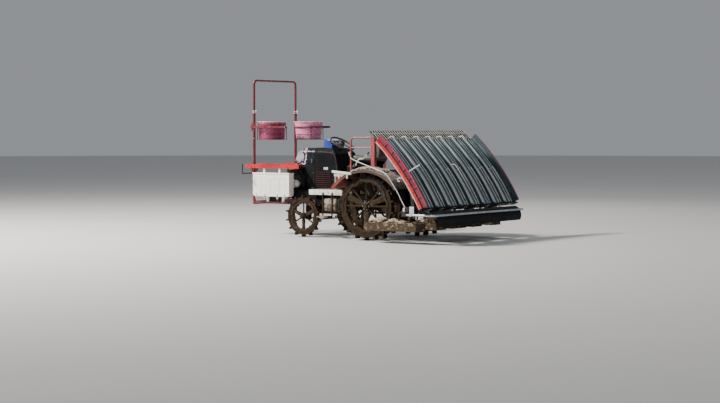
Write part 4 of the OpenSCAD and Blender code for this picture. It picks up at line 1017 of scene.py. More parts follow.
class TRANSPLANTER_OT_cowl(bpy.types.Operator):
    """Dials, switches, pedals, column boot and wheel grips"""

    bl_idname = "transplanter.cowl"
    bl_label = "Cowl and controls"

    def execute(self, context):
        low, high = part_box("instrument_pod")
        face = Vector((low.x + 0.0265, 0, high.z - 0.0585))
        out = Vector((-0.765, 0, 0.644))
        bezels, glass = [], []
        for y, r in ((-0.075, 0.032), (0.0, 0.026), (0.075, 0.032)):
            centre = face + Y * y
            bezels.append(ring("bezel", centre + out * 0.002, out, r, 0.004))
            glass.append(bar("dial", centre - out * 0.002, centre + out * 0.003, r, 32, 0.001))
        fitted("dial_bezels", bezels, "bolt_steel", "chassis")
        fitted("dial_glass", glass, "lamp_glass", "chassis")
        knobs = [bar("knob", face + Y * y - out * 0.002, face + Y * y + out * 0.014, 0.008, 12)
                 for y in (-0.125, -0.034, 0.034, 0.125)]
        fitted("pod_knobs", knobs, "grip_black", "chassis")
        x0, y0, z0 = low.x - 0.001, low.y + 0.004, high.z - 0.09
        x1, y1, z1 = low.x + 0.052, high.y - 0.004, high.z - 0.027
        corners = [(x0, y0, z0), (x0, y1, z0), (x1, y1, z1), (x1, y0, z1), (x0, y0, z0)]
        dress(tube("pod_lip", corners, 0.005, 2), "blue_plastic", "chassis")

        y = COWL_HIGH.y
        slat = block("slat", (COWL_LOW.x + 0.11, y - 0.001, FLOOR_TOP + 0.021),
                     (COWL_HIGH.x - 0.025, y + 0.002, FLOOR_TOP + 0.031), 0.0008)
        faces = row_of(slat, 8, (0, 0, 0.03), "faces")
        both("cowl_louvre_faces", [faces], "louvre_red", "chassis", "charcoal_plastic")
        seam = [(COWL_LOW.x + dx, y - 0.0065, z)
                for dx, z in ((0.012, FLOOR_TOP + 0.01), (0.012, 1.0), (0.05, 1.17), (0.1, 1.205), (0.34, 1.21))]
        both("cowl_seams", [tube("seam", seam, 0.004)], "mat_rubber", "chassis", "charcoal_plastic")

        axis, across, wheel_r = Vector((-0.5, 0, 0.866025)), Vector((0.866025, 0, 0.5)), 0.177
        hub = STEER_HUB
        cap = bar("horn_cap", hub + axis * 0.019, hub + axis * 0.032, 0.034, 32, 0.005)
        dress(cap, "charcoal_plastic", "steering")
        grips = []
        for k in range(36):
            c, s = math.cos(2 * math.pi * k / 36), math.sin(2 * math.pi * k / 36)
            grips.append(ring("grip", hub + (across * c + Y * s) * wheel_r, Y * c - across * s, 0.0125, 0.0022, 14, 6))
        fitted("wheel_grips", grips, "grip_black", "steering")
        rim = hub - across * wheel_r
        knob = [bar("post", rim + axis * 0.01, rim + axis * 0.035, 0.007),
                bar("ball", rim + axis * 0.033, rim + axis * 0.07, 0.02, 20, 0.009)]
        fitted("spinner_knob", knob, "grip_black", "steering")
        boot = [ring("fold", hub - axis * (0.03 + 0.012 * k), axis, 0.024 + 0.003 * k, 0.006, 24, 8) for k in range(6)]
        fitted("column_boot", boot, "mat_rubber", "chassis")

        pedals = []
        for y in (0.29, -0.29, -0.37):
            arm = [(x, y, FLOOR_TOP + dz) for x, dz in ((0.52, 0), (0.5, 0.06), (0.45, 0.1))]
            pad = [(x, y + dy, FLOOR_TOP + dz) for x, dy, dz in
                   ((0.405, -0.035, 0.1), (0.46, -0.035, 0.135), (0.46, 0.035, 0.135), (0.405, 0.035, 0.1))]
            pedals += [tube("arm", arm, 0.008), plate("pad", pad, (-0.004, 0, 0.008))]
        fitted("pedals", pedals, "cast_grey", "chassis")
        return {"FINISHED"}


class TRANSPLANTER_OT_carriers(bpy.types.Operator):
    """Clamps, brackets, bolts and plugs of the front carriers and their hoop"""

    bl_idname = "transplanter.carriers"
    bl_label = "Carriers"

    def execute(self, context):
        x, y, z = POST_X, POST_Y, POST_TOP
        clamps = [bar("collar", (x, y, z + dz), (x, y, z + dz + 0.016), 0.029, 28) for dz in (-0.02, 0.004)]
        clamps.append(block("ear", (x - 0.05, y - 0.008, z - 0.024), (x - 0.022, y + 0.008, z + 0.022)))
        both("hoop_clamps", clamps, "zinc", "chassis", "galvanised")
        spots = [(x - 0.036, y + 0.008, z)]
        spots += [(x + dx, y + 0.021, z + 0.015) for z in (SHELF_LOW.z, RAIL_LOW.z) for dx in (-0.012, 0.012)]
        spots += [(x, SHELF_HIGH.y, SHELF_HIGH.z - 0.03)
                  for x in (SHELF_SHORT_X + 0.015, SHELF_SHORT_X + 0.11, POST_X - 0.035, SHELF_HIGH.x - 0.03)]
        spots += [(RAIL_LOW.x + dx, RAIL_HIGH.y, RAIL_LOW.z + 0.186) for dx in (0.03, 0.3, 0.52)]
        dress(bolts("carrier_bolts", outward(spots)), "bolt_steel", "chassis")
        plugs = [block("plug", (x - 0.003, y0 + 0.004, SHELF_LOW.z + 0.004),
                       (x + 0.004, y1 - 0.004, SHELF_HIGH.z - 0.004), 0.003)
                 for x, y0, y1 in ((SHELF_LOW.x, SHELF_HIGH.y - 0.04, SHELF_HIGH.y), (SHELF_SHORT_X, 0.29, 0.32))]
        both("shelf_plugs", plugs, "black_plastic", "chassis", "black_plastic")
        x, z = SHELF_SHORT_X + 0.05, SHELF_HIGH.z - 0.023
        rod = bar("rod", (x, 0.31, z), (x, SHELF_HIGH.y - 0.035, z), 0.004, 8)
        both("shelf_rods", [row_of(rod, 10, (0.072, 0, 0), "rods")], "zinc", "chassis", "galvanised")
        y, z = POST_Y - 0.003, SHELF_LOW.z
        gussets = [plate("gusset", [(x, y, z), (x + reach, y, z), (x, y, z - 0.09)], (0, 0.006, 0))
                   for x, reach in ((POST_X - 0.018, -0.07), (POST_X + 0.018, 0.07))]
        both("post_gussets", gussets, "dark_red", "chassis", "dark_red_paint")
        return {"FINISHED"}


class TRANSPLANTER_OT_tubs(bpy.types.Operator):
    """Rolled rims, hoops and handles of the two tubs"""

    bl_idname = "transplanter.tubs"
    bl_label = "Tubs"

    def execute(self, context):
        for side, finish in (("left", "magenta_tub"), ("right", "pink_tub")):
            low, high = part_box(f"tub_{side}")
            x, y, rim_r = (low.x + high.x) / 2, (low.y + high.y) / 2, (high.x - low.x) / 2
            parts = [ring("rim", (x, y, high.z - 0.006), Z, rim_r - 0.001, 0.007, 72)]
            for share in (0.3, 0.62, 0.68):
                z = low.z + share * (high.z - low.z)
                if abs(z - RAIL_LOW.z) > 0.02:
                    parts.append(ring("hoop", (x, y, z), Z, rim_r - 0.025 + 0.017 * share, 0.0035, 72, 8))
            for x0 in (x + rim_r - 0.004, x - rim_r - 0.008):
                lug_low, lug_high = (x0, y - 0.05, high.z - 0.036), (x0 + 0.012, y + 0.05, high.z - 0.004)
                parts.append(block("lug", lug_low, lug_high, 0.005))
            fitted(f"tub_trim_{side}", parts, finish, "chassis")
        return {"FINISHED"}


class TRANSPLANTER_OT_trays(bpy.types.Operator):
    """Lips, embossed lines and hooked clamps of the white side trays"""

    bl_idname = "transplanter.trays"
    bl_label = "Side trays"

    def execute(self, context):
        low, high, face = TRAY_LOW, TRAY_HIGH, TRAY_HIGH.y
        lines = [block("line", (low.x + 0.01, face - 0.001, z), (high.x - 0.01, face + 0.004, z + 0.005), 0.0015)
                 for z in (low.z + 0.24, low.z + 0.35)]
        lines += [block("line", (x, face - 0.001, low.z + 0.13), (x + 0.005, face + 0.004, high.z - 0.15), 0.0015)
                  for x in (low.x + 0.17, low.x + 0.34, low.x + 0.51)]
        both("tray_lines", lines, "white_plastic", "chassis", "white_plastic")
        lip = block("lip", (low.x - 0.006, face - 0.116, 0.888), (high.x + 0.006, face + 0.008, 0.908), 0.005, 3)
        both("tray_lips", [lip], "white_plastic", "chassis", "white_plastic")
        clamps = []
        for x in (low.x + 0.07, low.x + 0.2, low.x + 0.43, low.x + 0.58):
            bends = ((0.004, 0.6), (0.014, 0.57), (0.01, 0.53), (-0.004, 0.515))
            hook = [(x + 0.014, face + dy, z) for dy, z in bends]
            clamps += [block("clamp", (x, face - 0.012, 0.53), (x + 0.028, face + 0.006, 0.6), 0.004),
                       tube("hook", hook, 0.004)]
        both("tray_clamps", clamps, "white_rod", "chassis", "galvanised")
        return {"FINISHED"}


class TRANSPLANTER_OT_lamps(bpy.types.Operator):
    """Glass, bezels and bolts of the head lamps"""

    bl_idname = "transplanter.lamps"
    bl_label = "Head lamps"

    def execute(self, context):
        low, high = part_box("headlamps")
        x, y, z, r = high.x, high.y - 0.055, high.z - 0.055, 0.055
        bezels = [ring("bezel", (x, y, z), X, r - 0.003, 0.006, 40), ring("rib", (x - 0.04, y, z), X, r, 0.004, 40, 8)]
        both("lamp_bezels", bezels, "bolt_steel", "chassis", "lamp_white")
        start()
        bpy.ops.mesh.primitive_uv_sphere_add(segments=32, ring_count=16, radius=r * 1.6, location=(x - r * 1.27, y, z))
        lens = settle("lens")
        bpy.ops.object.mode_set(mode="EDIT")
        bpy.ops.mesh.select_all(action="SELECT")
        bpy.ops.mesh.bisect(plane_co=(x - 0.002, y, z), plane_no=(1, 0, 0), use_fill=True, clear_inner=True)
        bpy.ops.object.mode_set(mode="OBJECT")
        bpy.ops.object.shade_smooth_by_angle(angle=math.radians(40))
        both("lamp_lenses", [lens], "lamp_glass", "chassis", "lamp_white")
        places = [((x - 0.042 + dx, s * (COVER_OUT + 0.02), z + 0.016), Z) for s in SIDES for dx in (-0.008, 0.008)]
        dress(bolts("lamp_bolts", places, 0.004), "bolt_steel", "chassis")
        return {"FINISHED"}


class TRANSPLANTER_OT_deck(bpy.types.Operator):
    """Mats, step edges, tread ribs and bolts of the floor and the decks"""

    bl_idname = "transplanter.deck"
    bl_label = "Floor and decks"

    def execute(self, context):
        low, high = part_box("step_floor")
        top = FLOOR_TOP
        base = block("mat", (low.x + 0.18, 0.27, top), (high.x - 0.03, 0.56, top + 0.004), 0.0015)
        rib = block("rib", (low.x + 0.19, 0.285, top + 0.003), (high.x - 0.04, 0.292, top + 0.008), 0.0015)
        ribs = row_of(rib, 12, (0, 0.0225, 0), "ribs")
        both("floor_mats", [base, ribs], "mat_rubber", "chassis", "charcoal_plastic")
        edge = block("edge", (low.x + 0.005, high.y - 0.002, low.z + 0.008),
                     (high.x - 0.005, high.y + 0.004, top - 0.006))
        rib = block("rib", (low.x + 0.03, high.y - 0.03, top - 0.001),
                    (low.x + 0.05, high.y - 0.004, top + 0.004), 0.001)
        deck_rib = block("rib", (-0.02, high.y - 0.035, SEAT_DECK - 0.001),
                         (-0.005, high.y - 0.004, SEAT_DECK + 0.004), 0.001)
        nosing = [edge, row_of(rib, 18, (0.03, 0, 0), "ribs"), row_of(deck_rib, 9, (0.03, 0, 0), "ribs")]
        both("step_nosings", nosing, "step_white", "chassis", "white_plastic")
        tread = REAR_DECK + context.scene.transplanter_sizes.tread
        rib = block("rib", (DECK_LOW.x + 0.02, -0.4, REAR_DECK - 0.001), (DECK_LOW.x + 0.03, 0.4, tread), 0.0015)
        dress(row_of(rib, 13, (0.032, 0, 0), "deck_tread"), "pale_plastic", "chassis")
        places = [((x, s * (FLOOR_Y - 0.02), SEAT_DECK), Z) for s in SIDES for x in (0.0, 0.21)]
        places += [((x, s * 0.43, REAR_DECK), Z) for s in SIDES for x in (DECK_LOW.x + 0.03, -0.18)]
        places += [((0.242, y, FLOOR_TOP + 0.12), X) for y in (-0.5, -0.25, 0.25, 0.5)]
        dress(bolts("deck_bolts", places), "bolt_steel", "chassis")
        x, y = GUARD_LOW.x + 0.029, GUARD_HIGH.y - 0.029
        feet = [block("foot", (x - 0.05, y - 0.029, REAR_DECK), (x + 0.05, y + 0.029, REAR_DECK + 0.007)),
                block("foot", (x + 0.355, y - 0.03, SEAT_DECK), (x + 0.425, y + 0.03, SEAT_DECK + 0.007))]
        both("guard_feet", feet, "white_rod", "chassis", "galvanised")
        places = [((x + dx, s * (y + dy), z + 0.007), Z) for s in SIDES for dy in (-0.018, 0.018)
                  for dx, z in ((-0.041, REAR_DECK), (0.041, REAR_DECK), (0.365, SEAT_DECK), (0.415, SEAT_DECK))]
        dress(bolts("guard_bolts", places, 0.006), "bolt_steel", "chassis")
        return {"FINISHED"}


class TRANSPLANTER_OT_fenders(bpy.types.Operator):
    """Planks, dried mud, bright front strips and rolled edges of the rear fenders"""

    bl_idname = "transplanter.fenders"
    bl_label = "Fenders"

    # Each lump of mud as x from the rear axle, y, length, width and height
    LUMPS = ((0.4, 0.56, 0.16, 0.2, 0.075), (0.31, 0.58, 0.2, 0.22, 0.065), (0.21, 0.6, 0.2, 0.22, 0.05),
             (0.1, 0.6, 0.22, 0.2, 0.04), (-0.02, 0.58, 0.2, 0.2, 0.03), (-0.15, 0.6, 0.18, 0.2, 0.02))

    def execute(self, context):
        side_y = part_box("rear_fenders")[1].y

        def point(radius, a, y):
            return Vector((FENDER_C.x + radius * math.cos(a), y, FENDER_C.z + radius * math.sin(a)))

        z, y, x0, x1 = SEAT_DECK, side_y, REAR_HUB.x + 0.19, REAR_HUB.x + 0.52
        outline = [(x, y - 0.0005, z + dz) for x, dz in ((x0, 0.0), (x0, 0.034), (x1, 0.06), (x1, 0.026))]
        parts = [plate("plank", outline, (0, 0.014, 0), 0.003)]
        for x in (x0 + (x1 - x0) * share for share in (0.2, 0.62)):
            parts.append(block("strap", (x, y - 0.0006, z - 0.05), (x + 0.022, y + 0.006, z + 0.03), 0.0015))
        for x in (x0 + (x1 - x0) * share for share in (0.55, 0.93)):
            stay = [(x, y + 0.004, z + 0.03), (x, y - 0.05, z + 0.03), (x, FLOOR_Y + 0.002, z - 0.012)]
            parts.append(tube("stay", stay, 0.006, 3, 4))
        both("side_planks", parts, "step_white", "chassis", "white_plastic")

        lumps = []
        for k, (x, y, length, width, height) in enumerate(self.LUMPS):
            x += REAR_HUB.x
            z = FENDER_C.z + math.sqrt((FENDER_R + 0.008) ** 2 - (x - FENDER_C.x) ** 2)
            slope = -(x - FENDER_C.x) / (z - FENDER_C.z)
            lump = heap(x, y, 0, length, width, height, 2.7 * k)
            for vertex in lump.data.vertices:
                vertex.co.z += z + slope * (vertex.co.x - x) - 0.004 - 0.8 * (vertex.co.x - x) ** 2
            lumps.append(lump)
        both("fender_crusts", lumps, "float_mud", "chassis", "dark_red_paint")

        a0, a1, a2 = math.radians(39), math.radians(60), math.radians(140)
        outline = [point(FENDER_R + dr, a0, side_y - dy)
                   for dr, dy in ((0.0005, 0.004), (0.004, 0.004), (0.004, 0.12), (0.0005, 0.12))]
        strip = swept("strip", outline, FENDER_C, a1 - a0, 12)
        # The strips' pale red is partly a painted highlight of their sunlit faces
        both("fender_strips", [strip], "bleached_and_lit_red", "chassis", "bright_red_paint")
        edge = [tube("edge", [point(FENDER_R - 0.005, a0 + (a2 - a0) * k / 24, side_y) for k in range(25)], 0.006)]
        for a in (math.radians(52), math.radians(90), math.radians(128)):
            insets = ((0.006, 0.47), (0.007, 0.66), (0.006, side_y - 0.01))
            stay = [point(FENDER_R - inset, a, y) for inset, y in insets]
            edge.append(tube("stay", stay, 0.008))
        both("fender_edges", edge, "fender_red", "chassis", "dark_red_paint")
        places = [(point(FENDER_R, a, s * y), (math.cos(a), 0, math.sin(a)))
                  for a in (math.radians(k) for k in range(44, 135, 18))
                  for s in SIDES for y in (0.475, side_y - 0.02)]
        dress(bolts("fender_bolts", places, 0.007), "bolt_steel", "chassis")
        return {"FINISHED"}


def lumpy(piece, centre, rough, seed):
    """Roughen a piece with noise, away from a centre and along the axle."""
    for vertex in piece.data.vertices:
        p = vertex.co - centre
        shift = noise.noise(vertex.co * 9.0 + X * seed) + 0.5 * noise.noise(vertex.co * 31.0 + Z * seed)
        away = Vector((p.x, 0, p.z)).normalized()
        vertex.co += away * shift * rough + Y * (shift * rough * 0.35)
    return piece


def caked(hub, ys, rim_r, hub_r, s):
    """Mud caked on the rim's inside, round the hub and over three of the spokes, filling the wheel partly as painted
    shade.
    """
    parts = []
    for k, y in enumerate(ys):
        centre = Vector((hub.x, y, hub.z))
        start()
        bpy.ops.mesh.primitive_torus_add(location=centre, rotation=(math.pi / 2, 0, 0), major_segments=96,
                                         minor_segments=10, major_radius=rim_r - 0.01, minor_radius=0.03)
        parts.append(lumpy(settle("rim_mud"), centre, 0.03, 4.0 * k + s))
        for a in (90, 202.5, 337.5):
            a = math.radians(a + 45 * k)
            way = Vector((-math.cos(a), 0, -math.sin(a)))
            across = Vector((-way.z, 0, way.x))
            start()
            bpy.ops.mesh.primitive_ico_sphere_add(subdivisions=5, radius=1, location=(0, 0, 0))
            arm = settle("arm")
            for vertex in arm.data.vertices:
                u, v, w = vertex.co
                reach = hub_r * 0.7 + (rim_r - hub_r * 0.7) * (u + 1) / 2
                flare = 0.14 * rim_r * (0.75 + 1.1 * u * u) * math.sqrt(max(0.0, 1 - u ** 6))
                flat = math.copysign(abs(v) ** 0.7, v)
                vertex.co = centre + way * reach + across * (flat * flare) + Y * (w * 0.016)
            parts.append(lumpy(arm, centre, 0.02, a))
    return parts


class TRANSPLANTER_OT_wheels(bpy.types.Operator):
    """Hub caps, nuts, rim beads, spoke gussets and caked mud of the wheels, the mud dark partly as painted shade"""

    bl_idname = "transplanter.wheels"
    bl_label = "Wheels"

    # Each end's hub, rim radius, spokes, hub radius, depth of its nuts and of its rims behind the tyre's outer face
    ENDS = (("front", FRONT_HUB, 0.24, 6, 0.048, 0.02, (0.04,)),
            ("rear", REAR_HUB, 0.387, 8, 0.06, 0.023, (0.045, 0.265)))

    def execute(self, context):
        for end, hub, rim_r, spokes, hub_r, nut_in, rims_in in self.ENDS:
            for side, s in (("left", 1), ("right", -1)):
                body, outer = f"wheel_{end}_{side}", 1 if s > 0 else 0
                out_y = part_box(f"{end}_tyre_{side}")[outer].y
                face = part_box(f"{end}_wheel_{side}")[outer].y
                parts = [bar("cap", (hub.x, face, hub.z), (hub.x, face + s * 0.018, hub.z), hub_r * 0.62, 24, 0.006)]
                ys = [out_y - s * inset for inset in rims_in]
                for y in ys:
                    parts += [ring("bead", (hub.x, y + dy, hub.z), Y, rim_r - 0.009, 0.007, 64, 8)
                              for dy in (-0.02, 0.02)]
                    for k in range(spokes):
                        a = 2 * math.pi * k / spokes
                        way, across = Vector((math.sin(a), 0, math.cos(a))), Vector((math.cos(a), 0, -math.sin(a)))
                        root = Vector((hub.x, y - 0.003, hub.z)) + way * (rim_r - 0.018)
                        corners = [root - way * 0.055, root + across * 0.035, root - across * 0.035]
                        parts.append(plate("gusset", corners, (0, 0.006, 0)))
                fitted(f"{end}_rim_fittings_{side}", parts, "muddy_steel", body)
                places = bolt_circle(hub.x, out_y - s * nut_in, hub.z, hub_r * 0.78, 6, s)
                dress(bolts(f"{end}_hub_nuts_{side}", places, 0.008), "bolt_steel", body)
                mud = caked(hub, ys, rim_r - 0.02, hub_r, s)
                fitted(f"{end}_caked_mud_and_shade_{side}", mud, "caked_mud_and_shade", body)
        return {"FINISHED"}


class TRANSPLANTER_OT_table_fittings(bpy.types.Operator):
    """Side guard trim, extension wires, press rod, bend hooks and bolts of the table"""

    bl_idname = "transplanter.table_fittings"
    bl_label = "Table fittings"

    def execute(self, context):
        side_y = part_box("side_guards")[1].y
        a0, a1 = TABLE_A1 - 0.006, TABLE_A2 - 0.003
        web, rim = GUARD_IN + GUARD_BAND, GUARD_OUT - GUARD_RIM
        # Each band as name, two radii, two widths, finish and slot
        bands = (
            # The web's dark maroon is painted shade in the recess
            ("guard_webs", web + 0.001, rim - 0.001, TABLE_Y + 0.0062, TABLE_Y + 0.008,
             "shaded_maroon_web", "dark_red_paint"),
            # The rear edge's pink is partly a painted highlight
            ("guard_edges", rim + 0.001, GUARD_OUT + 0.002, side_y - 0.023, side_y + 0.0015, "lit_pink_edge",
             "bright_red_paint"),
            # The front lip's pale red is partly a painted highlight
            ("guard_front_lips", GUARD_IN - 0.0015, GUARD_IN + 0.013, side_y - 0.02, side_y + 0.0015, "bleached_and_lit_red",
             "bright_red_paint"),
        )
        for name, r0, r1, y0, y1, finish, slot in bands:
            band = table_strip(name, [(r0, y0), (r1, y0), (r1, y1), (r0, y1)], a0, a1, 18)
            both(name, [band], finish, "table", slot)

        def along(r, share, y):
            return table_point(r, a0 + (a1 - a0) * share, y)

        # The ribs in the recess share the web's painted shade
        ribs = [bar("rib", along(web - 0.001, k / 8, TABLE_Y + 0.012),
                    along(rim + 0.001, k / 8, TABLE_Y + 0.012), 0.006, 10)
                for k in range(1, 8)]
        both("guard_ribs", ribs, "shaded_maroon_web", "table", "dark_red_paint")
        r, y = GUARD_IN - 0.004, side_y - 0.004
        cord = [tube("cord", [along(r, k / 20, y) for k in range(4, 18)], 0.0042)]
        cord += [ring("bead", along(r, k / 60, y), (0.74, 0, -0.67), 0.0052, 0.0028, 10, 6) for k in range(13, 51)]
        both("guard_cords", cord, "white_rod", "table", "galvanised")

        top = table_point(TABLE_R - 0.01, TABLE_A1)
        way = Vector((math.sin(TABLE_A1), 0, -math.cos(TABLE_A1))) * 0.2
        lift = Vector((math.cos(TABLE_A1), 0, math.sin(TABLE_A1))) * 0.012
        pitch = ROW_PITCH / 5
        first = top + lift + Y * (pitch / 2 - TABLE_Y)
        wires = [row_of(bar("wire", first, first + way, 0.0035, 8), 5 * ROWS, Y * pitch, "wires")]
        for share in (0.25, 0.75):
            middle, reach = top + way * share + lift * 0.5, Y * (TABLE_Y - 0.01)
            wires.append(bar("cross", middle - reach, middle + reach, 0.004, 8))
        fitted("extension_wires", wires, "white_rod", "table")
        bend = ((RIDGE + 0.006, 0.004), (RIDGE + 0.02, -0.002), (0.03, -0.014), (-0.008, -0.02))
        hook = tube("hook", [table_point(TABLE_R + dr, TABLE_A1 + da) for dr, da in bend], 0.006)
        hooks = spread("bend_hooks", hook, [(0, y, 0) for y in DIVIDER_YS])
        dress(hooks, "white_rod", "table")
        bend = [(0.02, 0.155), (0.09, 0.16), (0.105, 0.18)] + [(0.1, 0.2 + 0.02 * k) for k in range(6)]
        rod = [table_point(TABLE_R + dr, TABLE_A1 + da, -TABLE_Y + 3.98 * ROW_PITCH) for dr, da in bend]
        dress(tube("long_press_rod", rod, 0.006), "white_rod", "table")
        places = [(along(GUARD_IN + 0.032, k / 9, s * side_y), (0, s, 0)) for s in SIDES for k in range(1, 9)]
        dress(bolts("guard_bolts_rear", places, 0.008), "bolt_steel", "table")
        return {"FINISHED"}


class TRANSPLANTER_OT_driveline(bpy.types.Operator):
    """Covers, shaft, filters, exhaust and radiator of the gear case and engine"""

    bl_idname = "transplanter.driveline"
    bl_label = "Driveline"

    def execute(self, context):
        low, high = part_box("transmission_case")
        x, y, z = FRONT_HUB.x - 0.06, high.y, FRONT_HUB.z + 0.125
        side = [bar_y("cover", x, y - 0.001, y + 0.012, z, 0.088, 40, 0.004),
                bar_y("cap", x, y + 0.01, y + 0.03, z, 0.034, 28, 0.006),
                block("box", (low.x + 0.27, y - 0.001, low.z + 0.06), (low.x + 0.275, y + 0.012, 0.5), 0.003)]
        rib = block("rib", (low.x + 0.075, y - 0.001, low.z + 0.035), (low.x + 0.083, y + 0.011, 0.53))
        both("case_covers", [*side, row_of(rib, 4, (0.045, 0, 0), "ribs")], "cast_grey", "chassis", "cast_grey")
        places = outward([(low.x + dx, y, z) for dx in (0.05, 0.25) for z in (0.41, 0.51)])
        for s in SIDES:
            places += bolt_circle(x, s * (y + 0.012), z, 0.074, 8, s)
        dress(bolts("case_bolts", places, 0.007), "bolt_steel", "chassis")

        rear_x, z = REAR_HUB.x + 0.105, 0.46
        shaft = [bar_x("shaft", low.x + 0.005, rear_x - 0.005, 0, z, 0.022, 24)]
        for x, d in ((low.x, -1), (rear_x, 1)):
            shaft += [bar_x("flange", x, x + d * 0.014, 0, z, 0.055, 28),
                      bar_x("yoke", x + d * 0.012, x + d * 0.075, 0, z, 0.033, 20, 0.008),
                      bar_y("cross", x + d * 0.05, -0.042, 0.042, z, 0.013)]
        fitted("drive_shaft", shaft, "cast_grey", "chassis")
        x, z = 0.385, 0.415
        canister = [bar_y("canister", x, high.y - 0.001, high.y + 0.085, z, 0.036, 32, 0.006)]
        canister += [ring("ridge", (x, high.y + dy, z), Y, 0.0355, 0.0025, 32, 6)
                     for dy in (0.014, 0.03, 0.046, 0.062)]
        fitted("oil_filter", canister, "louvre_red", "chassis")
        y, z = -0.285, 0.545
        muffler = [bar_x("muffler", 0.3, 0.55, y, z, 0.044, 32, 0.012)]
        muffler += [ring("seam", (x, y, z), X, 0.0435, 0.0035, 32, 8) for x in (0.33, 0.425, 0.52)]
        tail = [(0.305, y, z), (0.25, y, 0.54), (0.2, -0.3, 0.5), (0.175, -0.31, 0.44)]
        muffler.append(tube("tail", tail, 0.014, 3, 6, 5))
        muffler.append(tube("lead", [(0.545, y, z), (0.61, y, 0.552), (0.69, y, 0.575)], 0.015, 3, 5, 5))
        muffler += [block("strap", (x, -0.25, 0.548), (x + 0.02, -0.219, 0.572)) for x in (0.35, 0.49)]
        fitted("exhaust", muffler, "engine_grey", "chassis")
        route = ((low.x + 0.01, 0.5), (low.x - 0.08, 0.5), (0.1, 0.515), (rear_x + 0.08, 0.515), (rear_x - 0.004, 0.5))
        pipes = [tube("pipe", [(x, y, z - drop) for x, z in route], 0.006, 3, 5)
                 for y, drop in ((0.14, 0), (0.125, 0.02))]
        fitted("oil_pipes", pipes, "zinc", "chassis")

        low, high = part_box("engine_block")
        y, z = 0.165, 0.94
        top = [block("rocker", (low.x + 0.08, -0.06, high.z - 0.001), (high.x - 0.11, 0.06, high.z + 0.035), 0.012, 3),
               bar_z("oil_cap", low.x + 0.14, 0, high.z + 0.034, high.z + 0.055, 0.022, 20, 0.004),
               bar_x("filter", low.x + 0.09, low.x + 0.29, y, z, 0.048, 32, 0.008)]
        top += [ring("band", (low.x + dx, y, z), X, 0.0475, 0.003, 32, 6) for dx in (0.12, 0.26)]
        fin = block("fin", (low.x + 0.03, 0.189, 0.66), (high.x - 0.03, 0.196, 0.665), 0.001)
        top.append(mirrored(row_of(fin, 9, (0, 0, 0.018), "fins")))
        for x in (low.x + 0.12 + 0.06 * k for k in range(3)):
            lead = [(x, -0.139, 0.9), (x, -0.175, 0.95), (x, -0.15, 1.03), (x, -0.058, high.z + 0.018)]
            top.append(tube("lead", lead, 0.004, 3, 5))
        fitted("engine_fittings", top, "engine_grey", "chassis")
        x = high.x
        core = [block("core", (x + 0.02, -0.165, 0.62), (x + 0.05, 0.165, 0.93), 0.006),
                block("tank", (x + 0.014, -0.17, 0.925), (x + 0.054, 0.17, 0.955), 0.008),
                bar_x("fan_ring", x - 0.002, x + 0.022, 0, 0.775, 0.14, 48, 0.003)]
        fin = block("fin", (x + 0.049, -0.16, 0.635), (x + 0.053, 0.16, 0.638), 0.0008)
        core.append(row_of(fin, 24, (0, 0, 0.012), "fins"))
        fitted("radiator", core, "black_plastic", "chassis")
        return {"FINISHED"}


class TRANSPLANTER_OT_axles(bpy.types.Operator):
    """Flanges, boots, brake drums and tie rod ends of the axles"""

    bl_idname = "transplanter.axles"
    bl_label = "Axles"

    def execute(self, context):
        fx, fz, rx, rz = FRONT_HUB.x, FRONT_HUB.z, REAR_HUB.x, REAR_HUB.z
        king_y, axle_z, tie_x, tie_z = FRONT_HUB.y - 0.12, fz + 0.085, fx - 0.12, fz - 0.053
        flanges = [bar_y("flange", fx, 0.172, 0.19, axle_z, 0.064, 32),
                   bar_y("collar", fx, 0.4, 0.418, axle_z, 0.052, 32),
                   bar_z("cap", fx, king_y, fz + 0.144, fz + 0.158, 0.036, 28, 0.006),
                   bar_y("rear_flange", rx, 0.172, 0.192, rz, 0.078, 36),
                   bar_y("drum", rx, 0.36, 0.42, rz, 0.082, 40, 0.006),
                   bar_y("drum_lip", rx, 0.415, 0.428, rz, 0.09, 40, 0.003)]
        both("axle_flanges", flanges, "muddy_steel", "chassis", "muddy_steel")
        places = [((rx - 0.105, y, z), -X) for y in (-0.08, 0.08) for z in (0.41, 0.51)]
        for s in SIDES:
            places += bolt_circle(fx, s * 0.19, axle_z, 0.053, 6, s) + bolt_circle(rx, s * 0.192, rz, 0.066, 6, s)
        dress(bolts("axle_bolts", places, 0.007), "bolt_steel", "chassis")
        cover = [block("cover", (rx - 0.114, -0.095, 0.395), (rx - 0.104, 0.095, 0.525), 0.004),
                 bar_x("plug", rx - 0.112, rx - 0.126, 0, 0.46, 0.018, 6)]
        fitted("axle_cover", cover, "cast_grey", "chassis")
        ends = []
        for side, s in (("left", 1), ("right", -1)):
            y = s * king_y
            parts = [bar_y("hub", fx, s * 0.55, s * 0.558, fz, 0.04, 28),
                     bar_z("nut", tie_x, y, fz - 0.018, fz - 0.006, 0.015, 6),
                     bar_z("plate", fx, y, fz - 0.058, fz - 0.049, 0.036, 28),
                     ring("fold", (fx, y, fz + 0.031), Z, 0.027, 0.003, 28, 6)]
            fitted(f"knuckle_fittings_{side}", parts, "muddy_steel", f"front_knuckle_{side}")
            ends += [bar_y("nut", tie_x, s * 0.425, s * 0.44, tie_z, 0.017, 6),
                     bar_y("sleeve", tie_x, s * 0.385, s * 0.424, tie_z, 0.013, 20),
                     ring("boot", (tie_x, y, fz - 0.041), Z, 0.015, 0.003, 24, 6)]
        fitted("tie_rod_ends", ends, "bolt_steel", "steering_tie_rod")
        return {"FINISHED"}


